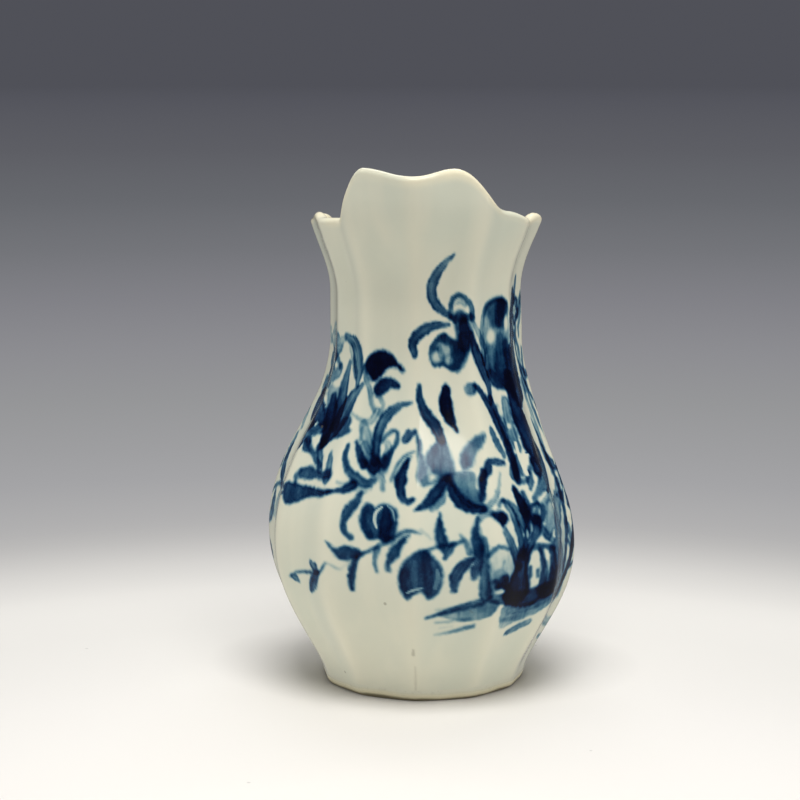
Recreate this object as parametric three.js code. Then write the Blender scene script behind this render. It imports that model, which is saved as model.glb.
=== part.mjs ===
// A small fluted porcelain cream jug, in millimetres, +Z up, its lip towards -Y and its handle towards +Y.
// The body is pressed in two halves that meet on the front and back arrises. A base disc closes it,
// a foot ring carries both, and a loop handle is fixed at the back on two pads of slip, the lutes.
import * as THREE from 'three';

// The side profile, as the radius of the arrises at a height
const FOOT_RADIUS = 18.8;
const BELLY_RADIUS = 28.8;
const BELLY_HEIGHT = 26.5;
const BELLY_RISE = 0.77; // below 1 fills the curve from the foot up to the belly
const SHOULDER_LENGTH = 38.5; // height from the belly up to the neck
const SHOULDER_FALL = 1.05; // above 1 fills the curve from the belly up to the neck
const NECK_RADIUS = 17.4;
const NECK_LENGTH = 8; // the straight stretch above the shoulder
const FLARE_OUT = 4.9; // how far the mouth opens beyond the neck
const FLARE_LENGTH = 18.5; // the height over which it opens

// The jug isn't quite even: its shoulder sits a little to the left and its mouth to the right
const SHOULDER_SWAY = -0.95;
const SWAY_HEIGHT = 42;
const SWAY_BELOW = 30; // the height over which the sway grows, and then dies away again
const SWAY_ABOVE = 15;
const MOUTH_SWAY = 0.25;
const MOUTH_SWAY_LENGTH = 8;

// The rim: its height at the sides, its fall to the handle and its scallops
const RIM_HEIGHT = 87.2;
const RIM_FALL = 3.0; // how much lower it lies at the handle than at the sides
const RIM_FALL_START = 80; // degrees from the front
const RIM_FALL_END = 140;
const RIM_SWEEP_LEFT = 0.8; // how much it climbs from the side to the foot of the lip
const RIM_SWEEP_RIGHT = 1.4;
const SWEEP_END = 90; // degrees from the front where the climb starts, and where it ends
const SWEEP_START = 34;
const SCALLOP_RISE = 1.0;
// Degrees from the front of the dips between the scallops, which are trimmed by eye
const DIPS_LEFT = [0, 33, 57, 88, 117, 147, 180];
const DIPS_RIGHT = [0, 33, 69, 99, 124, 150, 180];
const TRIMMED_TO = 57; // the left scallop beside the lip is cut flat up to here

// The pouring lip, which stands above the rim as two humps with a dip between them
const LIP_RISE = 9.5;
const LIP_DIP = 1.2;
const LIP_LEFT = { edge: 34.8, half: 10 }; // degrees from the front to the middle of its fall to
const LIP_RIGHT = { edge: 34.6, half: 17 }; // the rim, and half the angle over which it falls
const LIP_LEAN = 3.2; // how far the lip leans forward at its top
const LEAN_EDGE = 46; // degrees from the front to where the lean ends

// The flutes: arrises from the front to the handle on one side, in degrees, mirrored on the other
const ARRISES = [0, 33, 63, 90, 117, 147, 180];
const FLUTE_DEPTH = 0.045; // share of the radius by which a flute lies inside its arrises
const FLUTE_SHARPNESS = 0.75; // 1 gives a knife-edged arris, 0 a rounded one
const INSIDE_FLUTE = 0.6; // the inside shows the flutes at this share of their depth
const NECK_TURN = 5; // degrees by which the left arris beside the lip leans forward at the neck
const NECK_TURN_PLACE = -60;
const NECK_TURN_REACH = 26;

// The wall, the foot ring and the base disc
const WALL_FOOT = 2.6;
const WALL_RIM = 1.8;
const FOOT_HEIGHT = 2.2;
const FOOT_WIDTH = 4.0;
const BASE_THICKNESS = 2.4;
const SEAT_GAP = 0.3; // clearance at every curved seat

// The handle: where it meets the body, the line of its loop and its strap section
const HANDLE_TOP = 76.5;
const HANDLE_BOTTOM = 38;
const HANDLE_REACH = 25; // from the neck to the middle of the strap at its widest
const HANDLE_WIDEST = 65; // height of the widest point of the loop
const TOP_CLIMB = 22; // degrees by which the strap climbs as it leaves the wall
const TOP_PULL = 15; // how far the loop keeps that direction
const OUTER_PULL = 13; // how far it runs upright above its widest point
const LOWER_PULL = 16; // and below it
const BOTTOM_CLIMB = 27; // degrees by which the strap comes down to the wall
const BOTTOM_PULL = 12;
const HANDLE_WIDTH = 8.0;
const HANDLE_THICKNESS = 4.8;
const HANDLE_TAPER = 0.8; // size of the lower end as a share of the upper
const EDGE_ROUNDING = 0.7; // how much thinner the strap is at its edges
const GROOVE_DEPTH = 0.55; // two grooves run down the back of the strap
const END_SPLAY = 0.22; // how much the strap widens where it meets the wall
const SPLAY_LENGTH = 0.16; // share of the handle over which it widens
const LUTE_THICKNESS = 1.9;
const LUTE_LIP = 1.06; // size of the lute's flat face as a share of the strap's end
const LUTE_SPREAD = 1.22; // and of its foot on the wall

// Facets
const COLUMNS_PER_FLUTE = 5;
const WALL_ROWS = 21;
const RIM_STEPS = 4;
const HANDLE_STEPS = 34;
const STRAP_POINTS = 8; // on each face of the strap
const LUTE_RINGS = 3;

const degrees = Math.PI / 180;
const neckHeight = BELLY_HEIGHT + SHOULDER_LENGTH;
const flareHeight = neckHeight + NECK_LENGTH;
const clamp01 = (x) => Math.min(1, Math.max(0, x));
const mix = (a, b, t) => a + (b - a) * t;
const ease = (t) => (1 - Math.cos(Math.PI * clamp01(t))) / 2;

// Radius of the arrises at height z
function profile(z) {
  if (z < BELLY_HEIGHT) {
    const up = Math.pow(clamp01(z / BELLY_HEIGHT), BELLY_RISE);
    return mix(FOOT_RADIUS, BELLY_RADIUS, ease(up));
  }
  if (z < neckHeight) {
    const up = Math.pow((z - BELLY_HEIGHT) / SHOULDER_LENGTH, SHOULDER_FALL);
    return mix(BELLY_RADIUS, NECK_RADIUS, ease(up));
  }
  return NECK_RADIUS + FLARE_OUT * ease((z - flareHeight) / FLARE_LENGTH);
}

// How far from its middle an angle lies in the stretch of a list of edges that holds it: 1 at its edges
function fromMiddle(a, edges) {
  let i = 1;
  while (i < edges.length - 1 && a > edges[i]) {
    i += 1;
  }
  const middle = (edges[i] + edges[i - 1]) / 2;
  return Math.abs(a - middle) / (edges[i] - middle);
}

// How far into a flute an angle from the front lies: 0 on an arris and 1 in the middle
function fluteBow(angle) {
  const bow = Math.max(0, Math.cos(Math.PI / 2 * fromMiddle(Math.abs(angle), ARRISES)));
  return mix(bow * bow, bow, FLUTE_SHARPNESS);
}

// 0 in a dip of the rim and 1 at the top of a scallop
function scallop(angle) {
  const a = Math.abs(angle);
  if (angle < 0 && a > DIPS_LEFT[1] && a < TRIMMED_TO) {
    return 0;
  }
  return ease(1 - fromMiddle(a, angle < 0 ? DIPS_LEFT : DIPS_RIGHT));
}

// Height of the top of the rim at an angle
function rimHeight(angle) {
  const a = Math.abs(angle);
  const { edge, half } = angle < 0 ? LIP_LEFT : LIP_RIGHT;
  const lip = ease((edge + half - a) / (2 * half));
  const dip = LIP_DIP * ease(1 - a / (edge - half));
  const climb = angle < 0 ? RIM_SWEEP_LEFT : RIM_SWEEP_RIGHT;
  const sweep = climb * ease((SWEEP_END - a) / (SWEEP_END - SWEEP_START));
  const fall = RIM_FALL * ease((a - RIM_FALL_START) / (RIM_FALL_END - RIM_FALL_START));
  const wave = SCALLOP_RISE * (scallop(angle) - 0.5);
  return RIM_HEIGHT - fall + mix(sweep + wave, LIP_RISE - dip, lip);
}

// How far the body's middle lies to the right of the foot's at height z
function sway(z) {
  const fromShoulder = z < SWAY_HEIGHT ? (SWAY_HEIGHT - z) / SWAY_BELOW : (z - SWAY_HEIGHT) / SWAY_ABOVE;
  const intoMouth = (z - RIM_HEIGHT + MOUTH_SWAY_LENGTH) / MOUTH_SWAY_LENGTH;
  return SHOULDER_SWAY * ease(1 - fromShoulder) + MOUTH_SWAY * ease(intoMouth);
}

// Radius of the outside of the body at an angle and a height
function outerRadius(angle, z) {
  const front = ease(1 - Math.abs(angle) / LEAN_EDGE);
  const up = (z - flareHeight) / (RIM_HEIGHT + LIP_RISE - flareHeight);
  const round = profile(z) + sway(z) * Math.sin(angle * degrees);
  const nearness = ease(1 - Math.abs(angle - NECK_TURN_PLACE) / NECK_TURN_REACH);
  const turned = angle - NECK_TURN * nearness * ease((z - SWAY_HEIGHT) / SWAY_BELOW);
  return round * (1 - FLUTE_DEPTH * fluteBow(turned)) + LIP_LEAN * front * ease(up);
}

// Radius of the inside of the body
function innerRadius(angle, z) {
  const wall = mix(WALL_FOOT, WALL_RIM, ease(z / RIM_HEIGHT));
  const filled = FLUTE_DEPTH * (1 - INSIDE_FLUTE) * (1 - fluteBow(angle)) * profile(z);
  return outerRadius(angle, z) - wall - filled;
}

// A point at an angle, a radius and a height, exactly on the seam's plane at front and back
function place(angle, radius, z) {
  const x = angle % 180 === 0 ? 0 : radius * Math.sin(angle * degrees);
  return new THREE.Vector3(x, -radius * Math.cos(angle * degrees), z);
}

// Angles of the columns from the front seam to the back one, on the side given as 1 or -1
function columnAngles(side) {
  const angles = [0];
  for (let i = 1; i < ARRISES.length; i += 1) {
    for (let k = 1; k <= COLUMNS_PER_FLUTE; k += 1) {
      angles.push(mix(ARRISES[i - 1], ARRISES[i], k / COLUMNS_PER_FLUTE));
    }
  }
  return angles.map((a) => a * side);
}

// Angles right round the body, counter-clockwise from the front
function allAngles() {
  return columnAngles(1).concat(columnAngles(-1).slice(1, -1).reverse());
}

// The mesh of a list of points and of triangles between them
function mesh(points, triangles) {
  const geometry = new THREE.BufferGeometry();
  const positions = points.flatMap((p) => [p.x, p.y, p.z]);
  geometry.setAttribute('position', new THREE.Float32BufferAttribute(positions, 3));
  geometry.setIndex(triangles.flat());
  geometry.computeVertexNormals();
  return geometry;
}

// Triangles between one ring of points and the next, given where each starts in the list
function band(here, next, size) {
  const triangles = [];
  for (let k = 0; k < size; k += 1) {
    const l = (k + 1) % size;
    triangles.push([here + k, here + l, next + l], [here + k, next + l, next + k]);
  }
  return triangles;
}

// A solid from rings of points, closed at each end by a fan to a tip
function tippedLoft(rings, startTip, endTip) {
  const size = rings[0].length;
  const start = rings.length * size;
  const last = start - size;
  const triangles = [];
  for (let i = 0; i < rings.length - 1; i += 1) {
    triangles.push(...band(i * size, (i + 1) * size, size));
  }
  for (let k = 0; k < size; k += 1) {
    const l = (k + 1) % size;
    triangles.push([l, k, start], [last + k, last + l, start + 1]);
  }
  return mesh([...rings.flat(), startTip, endTip], triangles);
}

// The heights of the rows of a wall at one angle: level at the foot, following the rim at the top
function wallHeights(angle) {
  const top = rimHeight(angle) - WALL_RIM / 2;
  const levelTop = RIM_HEIGHT - WALL_RIM / 2;
  const heights = [];
  for (let k = 0; k < WALL_ROWS; k += 1) {
    const t = k / (WALL_ROWS - 1);
    heights.push(mix(FOOT_HEIGHT, levelTop, t) + (top - levelTop) * Math.pow(t, 4));
  }
  return heights;
}

// The section of the wall at one angle: up the outside, over the rounded rim, down the inside
function wallSection(angle) {
  const heights = wallHeights(angle);
  const top = heights[heights.length - 1];
  const outside = outerRadius(angle, top);
  const inside = innerRadius(angle, top);
  const section = heights.map((z) => place(angle, outerRadius(angle, z), z));
  for (let k = 1; k < RIM_STEPS; k += 1) {
    const turn = Math.PI * k / RIM_STEPS;
    const radius = mix(inside, outside, (1 + Math.cos(turn)) / 2);
    section.push(place(angle, radius, top + WALL_RIM / 2 * Math.sin(turn)));
  }
  heights.reverse().forEach((z) => section.push(place(angle, innerRadius(angle, z), z)));
  return section;
}

// Triangles of the flat face on the seam, across the wall from its foot to the crest of its rim
function seamFace(size) {
  const crest = (size - 1) / 2;
  const triangles = [[crest - 1, crest, crest + 1]];
  for (let k = 0; k < crest - 1; k += 1) {
    const across = size - 1 - k;
    triangles.push([k, k + 1, across - 1], [k, across - 1, across]);
  }
  return triangles;
}

// Half of the body, on the side given as 1 or -1
function bodyHalf(side) {
  const sections = columnAngles(side).map(wallSection);
  if (side > 0) {
    sections.reverse();
  }
  const size = sections[0].length;
  const last = (sections.length - 1) * size;
  const triangles = [];
  for (let i = 0; i < sections.length - 1; i += 1) {
    triangles.push(...band(i * size, (i + 1) * size, size));
  }
  seamFace(size).forEach(([a, b, c]) => triangles.push([a, c, b], [last + a, last + b, last + c]));
  return mesh(sections.flat(), triangles);
}

// The fluted ring that the jug stands on
function footRing() {
  const inside = FOOT_RADIUS - FOOT_WIDTH;
  const sections = allAngles().reverse().map((angle) => [
    place(angle, outerRadius(angle, 0), 0),
    place(angle, outerRadius(angle, FOOT_HEIGHT), FOOT_HEIGHT),
    place(angle, inside, FOOT_HEIGHT),
    place(angle, inside, 0),
  ]);
  const size = sections[0].length;
  const triangles = sections.flatMap((section, i) =>
    band(i * size, (i + 1) % sections.length * size, size));
  return mesh(sections.flat(), triangles);
}

// The slab that closes the body, resting on the foot ring inside the walls
function baseDisc() {
  const top = FOOT_HEIGHT + BASE_THICKNESS;
  const rings = [FOOT_HEIGHT, top].map((z) =>
    allAngles().map((angle) => place(angle, innerRadius(angle, z) - SEAT_GAP, z)));
  return tippedLoft(rings, new THREE.Vector3(0, 0, FOOT_HEIGHT), new THREE.Vector3(0, 0, top));
}

// The middle line of the handle, from the neck to the shoulder, in the plane of the seams
function handleCurve() {
  const standOff = SEAT_GAP + LUTE_THICKNESS;
  const at = (y, z) => new THREE.Vector3(0, y, z);
  const top = at(outerRadius(180, HANDLE_TOP) + standOff, HANDLE_TOP);
  const outer = at(NECK_RADIUS + HANDLE_REACH, HANDLE_WIDEST);
  const bottom = at(outerRadius(180, HANDLE_BOTTOM) + standOff, HANDLE_BOTTOM);
  const topWay = at(Math.cos(TOP_CLIMB * degrees), Math.sin(TOP_CLIMB * degrees));
  const bottomWay = at(Math.cos(BOTTOM_CLIMB * degrees), Math.sin(BOTTOM_CLIMB * degrees));
  const up = at(0, 1);
  const curve = new THREE.CurvePath();
  curve.add(new THREE.CubicBezierCurve3(
    top,
    top.clone().addScaledVector(topWay, TOP_PULL),
    outer.clone().addScaledVector(up, OUTER_PULL),
    outer,
  ));
  curve.add(new THREE.CubicBezierCurve3(
    outer,
    outer.clone().addScaledVector(up, -LOWER_PULL),
    bottom.clone().addScaledVector(bottomWay, BOTTOM_PULL),
    bottom,
  ));
  return curve;
}

// The strap's section, as points across its width and out from its middle line. Its back, which
// comes first, has two grooves, and the front towards the fingers is smooth.
function strapSection(scale) {
  const section = [];
  for (let k = 0; k < STRAP_POINTS; k += 1) {
    const across = -1 + 2 * k / STRAP_POINTS;
    const crown = Math.sqrt(1 - EDGE_ROUNDING * across * across);
    const groove = GROOVE_DEPTH * Math.pow(Math.sin(Math.PI * across), 2);
    section.push([across, HANDLE_THICKNESS / 2 * crown - groove]);
  }
  for (let k = 0; k < STRAP_POINTS; k += 1) {
    const across = 1 - 2 * k / STRAP_POINTS;
    section.push([across, -HANDLE_THICKNESS / 2 * Math.sqrt(1 - across * across)]);
  }
  return section.map(([across, out]) => [across * HANDLE_WIDTH / 2 * scale, out * scale]);
}

// The strap's section set at a share of the way along the handle, grown by a factor
function strapRing(curve, along, grow) {
  const centre = curve.getPointAt(along);
  const way = curve.getTangentAt(along);
  const outward = new THREE.Vector3(0, -way.z, way.y);
  const splay = 1 + END_SPLAY * ease(1 - Math.min(along, 1 - along) / SPLAY_LENGTH);
  return strapSection(mix(1, HANDLE_TAPER, along) * splay * grow).map(([across, out]) =>
    new THREE.Vector3(across, 0, 0).add(centre).addScaledVector(outward, out));
}

function handle() {
  const curve = handleCurve();
  const rings = [];
  for (let k = 0; k <= HANDLE_STEPS; k += 1) {
    rings.push(strapRing(curve, k / HANDLE_STEPS, 1));
  }
  return tippedLoft(rings, curve.getPointAt(0), curve.getPointAt(1));
}

// The last clear point on the way from a point outside the body to its wall
function wallPoint(start, way) {
  let near = 0;
  let far = NECK_RADIUS;
  for (let k = 0; k < 40; k += 1) {
    const middle = (near + far) / 2;
    const p = start.clone().addScaledVector(way, middle);
    const angle = Math.atan2(p.x, -p.y) / degrees;
    const isClear = Math.hypot(p.x, p.y) > outerRadius(angle, p.z) + SEAT_GAP;
    near = isClear ? middle : near;
    far = isClear ? far : middle;
  }
  return start.clone().addScaledVector(way, near);
}

// The lute between one end of the strap, 0 at the neck and 1 at the shoulder, and the wall
function lute(end) {
  const curve = handleCurve();
  const way = curve.getTangentAt(end).multiplyScalar(end === 0 ? -1 : 1);
  const centre = curve.getPointAt(end);
  const rings = [strapRing(curve, end, LUTE_LIP)];
  for (let k = LUTE_RINGS; k >= 1; k -= 1) {
    rings.push(strapRing(curve, end, LUTE_SPREAD * k / LUTE_RINGS).map((p) => wallPoint(p, way)));
  }
  const onWall = wallPoint(centre, way);
  return end === 0 ? tippedLoft(rings.reverse(), onWall, centre) : tippedLoft(rings, centre, onWall);
}

const glaze = { color: 0xc9ccb8, roughness: 0.16, metalness: 0 };
const bareClay = { color: 0xb9a98c, roughness: 0.7, metalness: 0 };
const parts = [
  ['body_left_half', bodyHalf(-1), glaze],
  ['body_right_half', bodyHalf(1), glaze],
  ['base_disc', baseDisc(), glaze],
  ['foot_ring', footRing(), bareClay],
  ['handle', handle(), glaze],
  ['handle_upper_lute', lute(0), glaze],
  ['handle_lower_lute', lute(1), glaze],
];

const jug = new THREE.Group();
parts.forEach(([name, geometry, finish]) => {
  const part = new THREE.Mesh(geometry, new THREE.MeshStandardMaterial(finish));
  part.name = name;
  jug.add(part);
});

// The origin is the middle of the whole jug's box, on the surface that it stands on
const box = new THREE.Box3().setFromObject(jug);
const middle = box.getCenter(new THREE.Vector3());
jug.position.set(-middle.x, -middle.y, -box.min.z);
jug.updateMatrixWorld(true);

export default jug;
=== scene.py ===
"""A fluted porcelain cream jug with blue painting under its glaze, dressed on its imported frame."""

import math

import bmesh
import bpy
import numpy as np
from bpy.props import FloatProperty, FloatVectorProperty, PointerProperty
from bpy.types import Operator, Panel, PropertyGroup
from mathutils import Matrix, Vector


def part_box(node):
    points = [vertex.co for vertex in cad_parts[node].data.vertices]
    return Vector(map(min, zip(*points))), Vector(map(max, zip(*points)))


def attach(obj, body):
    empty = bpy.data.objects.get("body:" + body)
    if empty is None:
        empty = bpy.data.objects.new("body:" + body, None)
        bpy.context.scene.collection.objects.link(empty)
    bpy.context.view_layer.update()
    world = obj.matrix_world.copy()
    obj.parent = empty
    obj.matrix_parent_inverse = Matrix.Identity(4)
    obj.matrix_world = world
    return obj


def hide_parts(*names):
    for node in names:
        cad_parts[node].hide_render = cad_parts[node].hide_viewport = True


bl_info = {
    "name": "Fluted cream jug",
    "version": (1, 0, 0),
    "blender": (4, 5, 0),
    "location": "3D View > Sidebar > Cream jug",
    "description": "Builds a fluted porcelain cream jug and the plain studio that it stands in",
    "category": "Add Mesh",
}

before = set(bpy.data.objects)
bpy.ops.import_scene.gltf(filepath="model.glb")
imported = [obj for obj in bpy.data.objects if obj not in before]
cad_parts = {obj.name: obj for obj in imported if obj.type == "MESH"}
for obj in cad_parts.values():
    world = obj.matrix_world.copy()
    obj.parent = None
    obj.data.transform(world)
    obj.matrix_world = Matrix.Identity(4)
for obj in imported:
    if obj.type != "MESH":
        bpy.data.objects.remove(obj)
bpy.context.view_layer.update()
MM = 0.001

# The jug's own axis, which isn't the frame's, because the handle reaches back
FOOT_LOW, FOOT_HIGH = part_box("foot_ring")
AXIS = np.array([(FOOT_LOW.x + FOOT_HIGH.x) / 2, (FOOT_LOW.y + FOOT_HIGH.y) / 2])

# Angles of the flutes' arrises from the front to the handle, in degrees, the same on both sides
ARRISES = np.array([0, 33, 63, 90, 117, 147, 180], float)


def length(name, description, mm):
    """A size in metres, from millimetres."""
    return FloatProperty(
        name=name, description=description, default=mm * MM, unit="LENGTH", precision=4
    )


def amount(name, description, default):
    """A plain number."""
    return FloatProperty(name=name, description=description, default=default, precision=3)


def turn(name, description, degrees):
    """An angle, shown in degrees."""
    return FloatProperty(
        name=name, description=description, default=math.radians(degrees), subtype="ANGLE"
    )


def tint(name, description, colour):
    """A colour, as linear red, green and blue."""
    return FloatVectorProperty(
        name=name, description=description, default=colour, subtype="COLOR", size=3, min=0, max=1
    )


class JugForm(PropertyGroup):
    """Sizes of the pressed body."""

    foot_radius: length("Foot radius", "Radius of the arrises at the foot", 18.8)
    belly_radius: length("Belly radius", "Radius of the arrises at the belly", 28.8)
    belly_height: length("Belly height", "Height of the widest part", 26.5)
    belly_rise: amount("Belly rise", "Below 1 fills the curve from foot to belly", 0.77)
    shoulder_length: length("Shoulder length", "Height from the belly to the neck", 38.5)
    shoulder_fall: amount("Shoulder fall", "Above 1 fills the curve from belly to neck", 1.05)
    neck_radius: length("Neck radius", "Radius of the arrises at the neck", 17.4)
    neck_length: length("Neck length", "Straight stretch above the shoulder", 8)
    flare_out: length("Flare", "How far the mouth opens beyond the neck", 4.9)
    flare_length: length("Flare length", "Height over which the mouth opens", 18.5)
    shoulder_sway: length("Shoulder sway", "How far the shoulder sits to one side", -0.95)
    sway_height: length("Sway height", "Where that sway is greatest", 42)
    sway_below: length("Sway below", "Height over which the sway grows", 30)
    sway_above: length("Sway above", "Height over which it dies away", 15)
    mouth_sway: length("Mouth sway", "How far the mouth sits to the other side", 0.25)
    mouth_sway_length: length("Mouth sway length", "Height over which that grows", 8)
    rim_height: length("Rim height", "Height of the rim at the sides", 87.2)
    rim_fall: length("Rim fall", "How much lower the rim is at the handle", 3)
    sweep_left: length("Left sweep", "How much the rim climbs to the lip at the left", 0.8)
    sweep_right: length("Right sweep", "How much the rim climbs to the lip at the right", 1.4)
    scallop_rise: length("Scallop rise", "Height of each scallop of the rim", 1.0)
    neck_turn: amount("Neck turn", "Degrees by which one arris of the neck leans forward", 5)
    lip_rise: length("Lip rise", "Height of the lip above the rim", 9.5)
    lip_dip: length("Lip dip", "Depth of the dip in the middle of the lip", 1.2)
    lip_lean: length("Lip lean", "How far the lip leans forward", 3.2)
    flute_depth: amount("Flute depth", "Depth of a flute as a share of the radius", 0.045)
    flute_sharpness: amount("Flute sharpness", "1 for knife-edged arrises, 0 for round", 0.75)
    arris_softness: amount("Arris softness", "How much glaze rounds each arris", 0.2)
    neck_softness: amount("Neck softness", "The same for the neck's arrises beside the lip", 0.75)
    inside_flute: amount("Inside flute", "Share of the flutes that shows inside", 0.6)
    wall_foot: length("Wall at the foot", "Thickness of the wall at the foot", 2.6)
    wall_rim: length("Wall at the rim", "Thickness of the wall at the rim", 1.8)
    foot_height: length("Foot height", "Height of the foot ring", 2.2)
    foot_width: length("Foot width", "Width of the foot ring", 4)
    foot_wear: amount("Foot wear", "How much of the flutes was wiped away at the foot", 0.6)
    wear_height: length("Wear height", "Height over which the flutes come back", 13)
    right_swell: length("Right swell", "How much fuller the neck is on its right side", 0.8)
    swell_height: length("Swell height", "Height at which the right side is fullest", 62)
    swell_reach: length("Swell reach", "Height over which the swell dies away, up and down", 26)
    base_thickness: length("Base thickness", "Thickness of the base disc", 2.4)


# The camera: its distance from the jug's axis, height, turn to the right and pitch, and how far
# it stands to the left of the line to the axis
CAMERA_DISTANCE = 400 * MM
CAMERA_HEIGHT = 118 * MM
CAMERA_TURN = math.radians(5)
CAMERA_PITCH = math.radians(9.3)
CAMERA_ASIDE = 4.4 * MM
PICTURE = 800  # pixels across the square photograph
FOCAL_PIXELS = 2174  # the lens, in the same pixels
SENSOR = 36  # millimetres

LEVEL = np.array([-math.sin(CAMERA_TURN), math.cos(CAMERA_TURN), 0])
UPRIGHT = np.array([0, 0, 1.0])
RIGHT = np.array([math.cos(CAMERA_TURN), math.sin(CAMERA_TURN), 0])
FORWARD = LEVEL * math.cos(CAMERA_PITCH) - UPRIGHT * math.sin(CAMERA_PITCH)
UP = LEVEL * math.sin(CAMERA_PITCH) + UPRIGHT * math.cos(CAMERA_PITCH)
EYE = np.array([*AXIS, CAMERA_HEIGHT]) - LEVEL * CAMERA_DISTANCE - RIGHT * CAMERA_ASIDE


def page(points):
    """Where points on the jug appear in the photograph's frame, in its pixels from the top left."""
    away = points - EYE
    depth = away @ FORWARD
    across = PICTURE / 2 + FOCAL_PIXELS * (away @ RIGHT) / depth
    down = PICTURE / 2 - FOCAL_PIXELS * (away @ UP) / depth
    return np.stack([across, down], -1)


# Angles in degrees from the front
RIM_FALL_START, RIM_FALL_END = 80, 140  # where the rim falls towards the handle
SWEEP_START, SWEEP_END = 34, 90  # where it climbs to the lip's foot
SOFT_TO, SOFT_FADE = 56, 14  # the arrises beside the lip are softer on the neck, up to this angle
SOFT_FROM, SOFT_RISE = 48 * MM, 16 * MM  # and from this height
LEANING_ARRIS, LEANING_REACH = -60, 26  # the arris of the neck that leans forward
LEAN_EDGE = 46  # where the lip's own lean has died away
LIP_LEFT = (34.2, 10)  # middle of the lip's fall to the rim, and half its angle
LIP_RIGHT = (34.6, 17)

# Angles of the dips between the scallops of the rim, which a potter trims by eye
DIPS_LEFT = np.array([0, 33, 57, 88, 117, 147, 180], float)
DIPS_RIGHT = np.array([0, 33, 69, 99, 124, 150, 180], float)
TRIMMED_TO = 57  # the left scallop beside the lip is cut flat up to here


def ease(t):
    """Runs smoothly from 0 at 0 to 1 at 1."""
    return (1 - np.cos(np.pi * np.clip(t, 0, 1))) / 2


def mix(a, b, t):
    """Runs from a, where t is 0, to b, where t is 1."""
    return a + (b - a) * t


def profile(f, z):
    """Radius of the arrises at height z."""
    below = np.clip(z / f.belly_height, 0, 1) ** f.belly_rise
    above = np.clip((z - f.belly_height) / f.shoulder_length, 0, 1) ** f.shoulder_fall
    neck = f.belly_height + f.shoulder_length
    flare = f.flare_out * ease((z - neck - f.neck_length) / f.flare_length)
    lower = mix(f.foot_radius, f.belly_radius, ease(below))
    upper = mix(f.belly_radius, f.neck_radius, ease(above)) + flare
    return np.where(z < f.belly_height, lower, upper)


def from_middle(a, edges):
    """How far from its middle an angle lies in the stretch between two edges: 1 at the edges."""
    i = np.clip(np.searchsorted(edges, a, side="left"), 1, len(edges) - 1)
    middle = (edges[i] + edges[i - 1]) / 2
    return np.abs(a - middle) / (edges[i] - middle)


def flute_bow(f, angle, soft=0.0):
    """0 on an arris and 1 in the middle of a flute. Above 0, soft rounds the arris."""
    bow = np.maximum(0, np.cos(np.pi / 2 * from_middle(np.abs(angle), ARRISES)))
    bow = (np.sqrt(bow**2 + soft**2) - soft) / (np.sqrt(1 + soft**2) - soft)
    return mix(bow**2, bow, f.flute_sharpness)


def scallop(angle):
    """0 in a dip of the rim and 1 at the top of a scallop."""
    a = np.abs(angle)
    left, right = (ease(1 - from_middle(a, dips)) for dips in (DIPS_LEFT, DIPS_RIGHT))
    left = np.where((a > DIPS_LEFT[1]) & (a < TRIMMED_TO), 0, left)
    return np.where(angle < 0, left, right)


def rim_height(f, angle):
    """Height of the top of the rim."""
    a = np.abs(angle)
    edge, half = (np.where(angle < 0, left, right) for left, right in zip(LIP_LEFT, LIP_RIGHT))
    lip = ease((edge + half - a) / (2 * half))
    dip = f.lip_dip * ease(1 - a / (edge - half))
    climb = np.where(angle < 0, f.sweep_left, f.sweep_right)
    sweep = climb * ease((SWEEP_END - a) / (SWEEP_END - SWEEP_START))
    fall = f.rim_fall * ease((a - RIM_FALL_START) / (RIM_FALL_END - RIM_FALL_START))
    wave = f.scallop_rise * (scallop(angle) - 0.5)
    return f.rim_height - fall + mix(sweep + wave, f.lip_rise - dip, lip)


def sway(f, z):
    """How far the body's middle lies to the right of the foot's."""
    below, above = (f.sway_height - z) / f.sway_below, (z - f.sway_height) / f.sway_above
    up = np.where(z < f.sway_height, below, above)
    mouth = (z - f.rim_height + f.mouth_sway_length) / f.mouth_sway_length
    return f.shoulder_sway * ease(1 - up) + f.mouth_sway * ease(mouth)


def outer_radius(f, angle, z, depth=None):
    """Radius of the outside of the body, for flutes of this depth."""
    depth = f.flute_depth if depth is None else depth
    depth = depth * mix(1 - f.foot_wear, 1, ease(z / f.wear_height))
    start = f.belly_height + f.shoulder_length + f.neck_length
    front = ease(1 - np.abs(angle) / LEAN_EDGE)
    lean = f.lip_lean * front * ease((z - start) / (f.rim_height + f.lip_rise - start))
    right = np.sin(np.radians(angle))
    swell = f.right_swell * ease(1 - np.abs(z - f.swell_height) / f.swell_reach)
    circle = profile(f, z) + sway(f, z) * right + swell * np.maximum(right, 0) ** 2
    off = np.abs(angle - LEANING_ARRIS) / LEANING_REACH
    turned = angle - f.neck_turn * ease(1 - off) * ease((z - f.sway_height) / f.sway_below)
    beside_lip = ease((SOFT_TO - np.abs(angle)) / SOFT_FADE) * ease((z - SOFT_FROM) / SOFT_RISE)
    soft = mix(f.arris_softness, f.neck_softness, beside_lip)
    return circle * (1 - depth * flute_bow(f, turned, soft)) + lean


def inner_radius(f, angle, z, depth=None):
    """Radius of the inside of the body, for flutes of this depth."""
    depth = f.flute_depth if depth is None else depth
    wall = mix(f.wall_foot, f.wall_rim, ease(z / f.rim_height))
    filled = depth * (1 - f.inside_flute) * (1 - flute_bow(f, angle)) * profile(f, z)
    return outer_radius(f, angle, z, depth) - wall - filled


def place(angle, radius, z):
    """Points at angles from the front, radii and heights."""
    a = np.radians(angle)
    x, y = AXIS[0] + radius * np.sin(a), AXIS[1] - radius * np.cos(a)
    return np.stack(np.broadcast_arrays(x, y, z), -1)


def wrapped(angle):
    """The same angle between -180 and 180."""
    return (angle + 180) % 360 - 180


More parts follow.
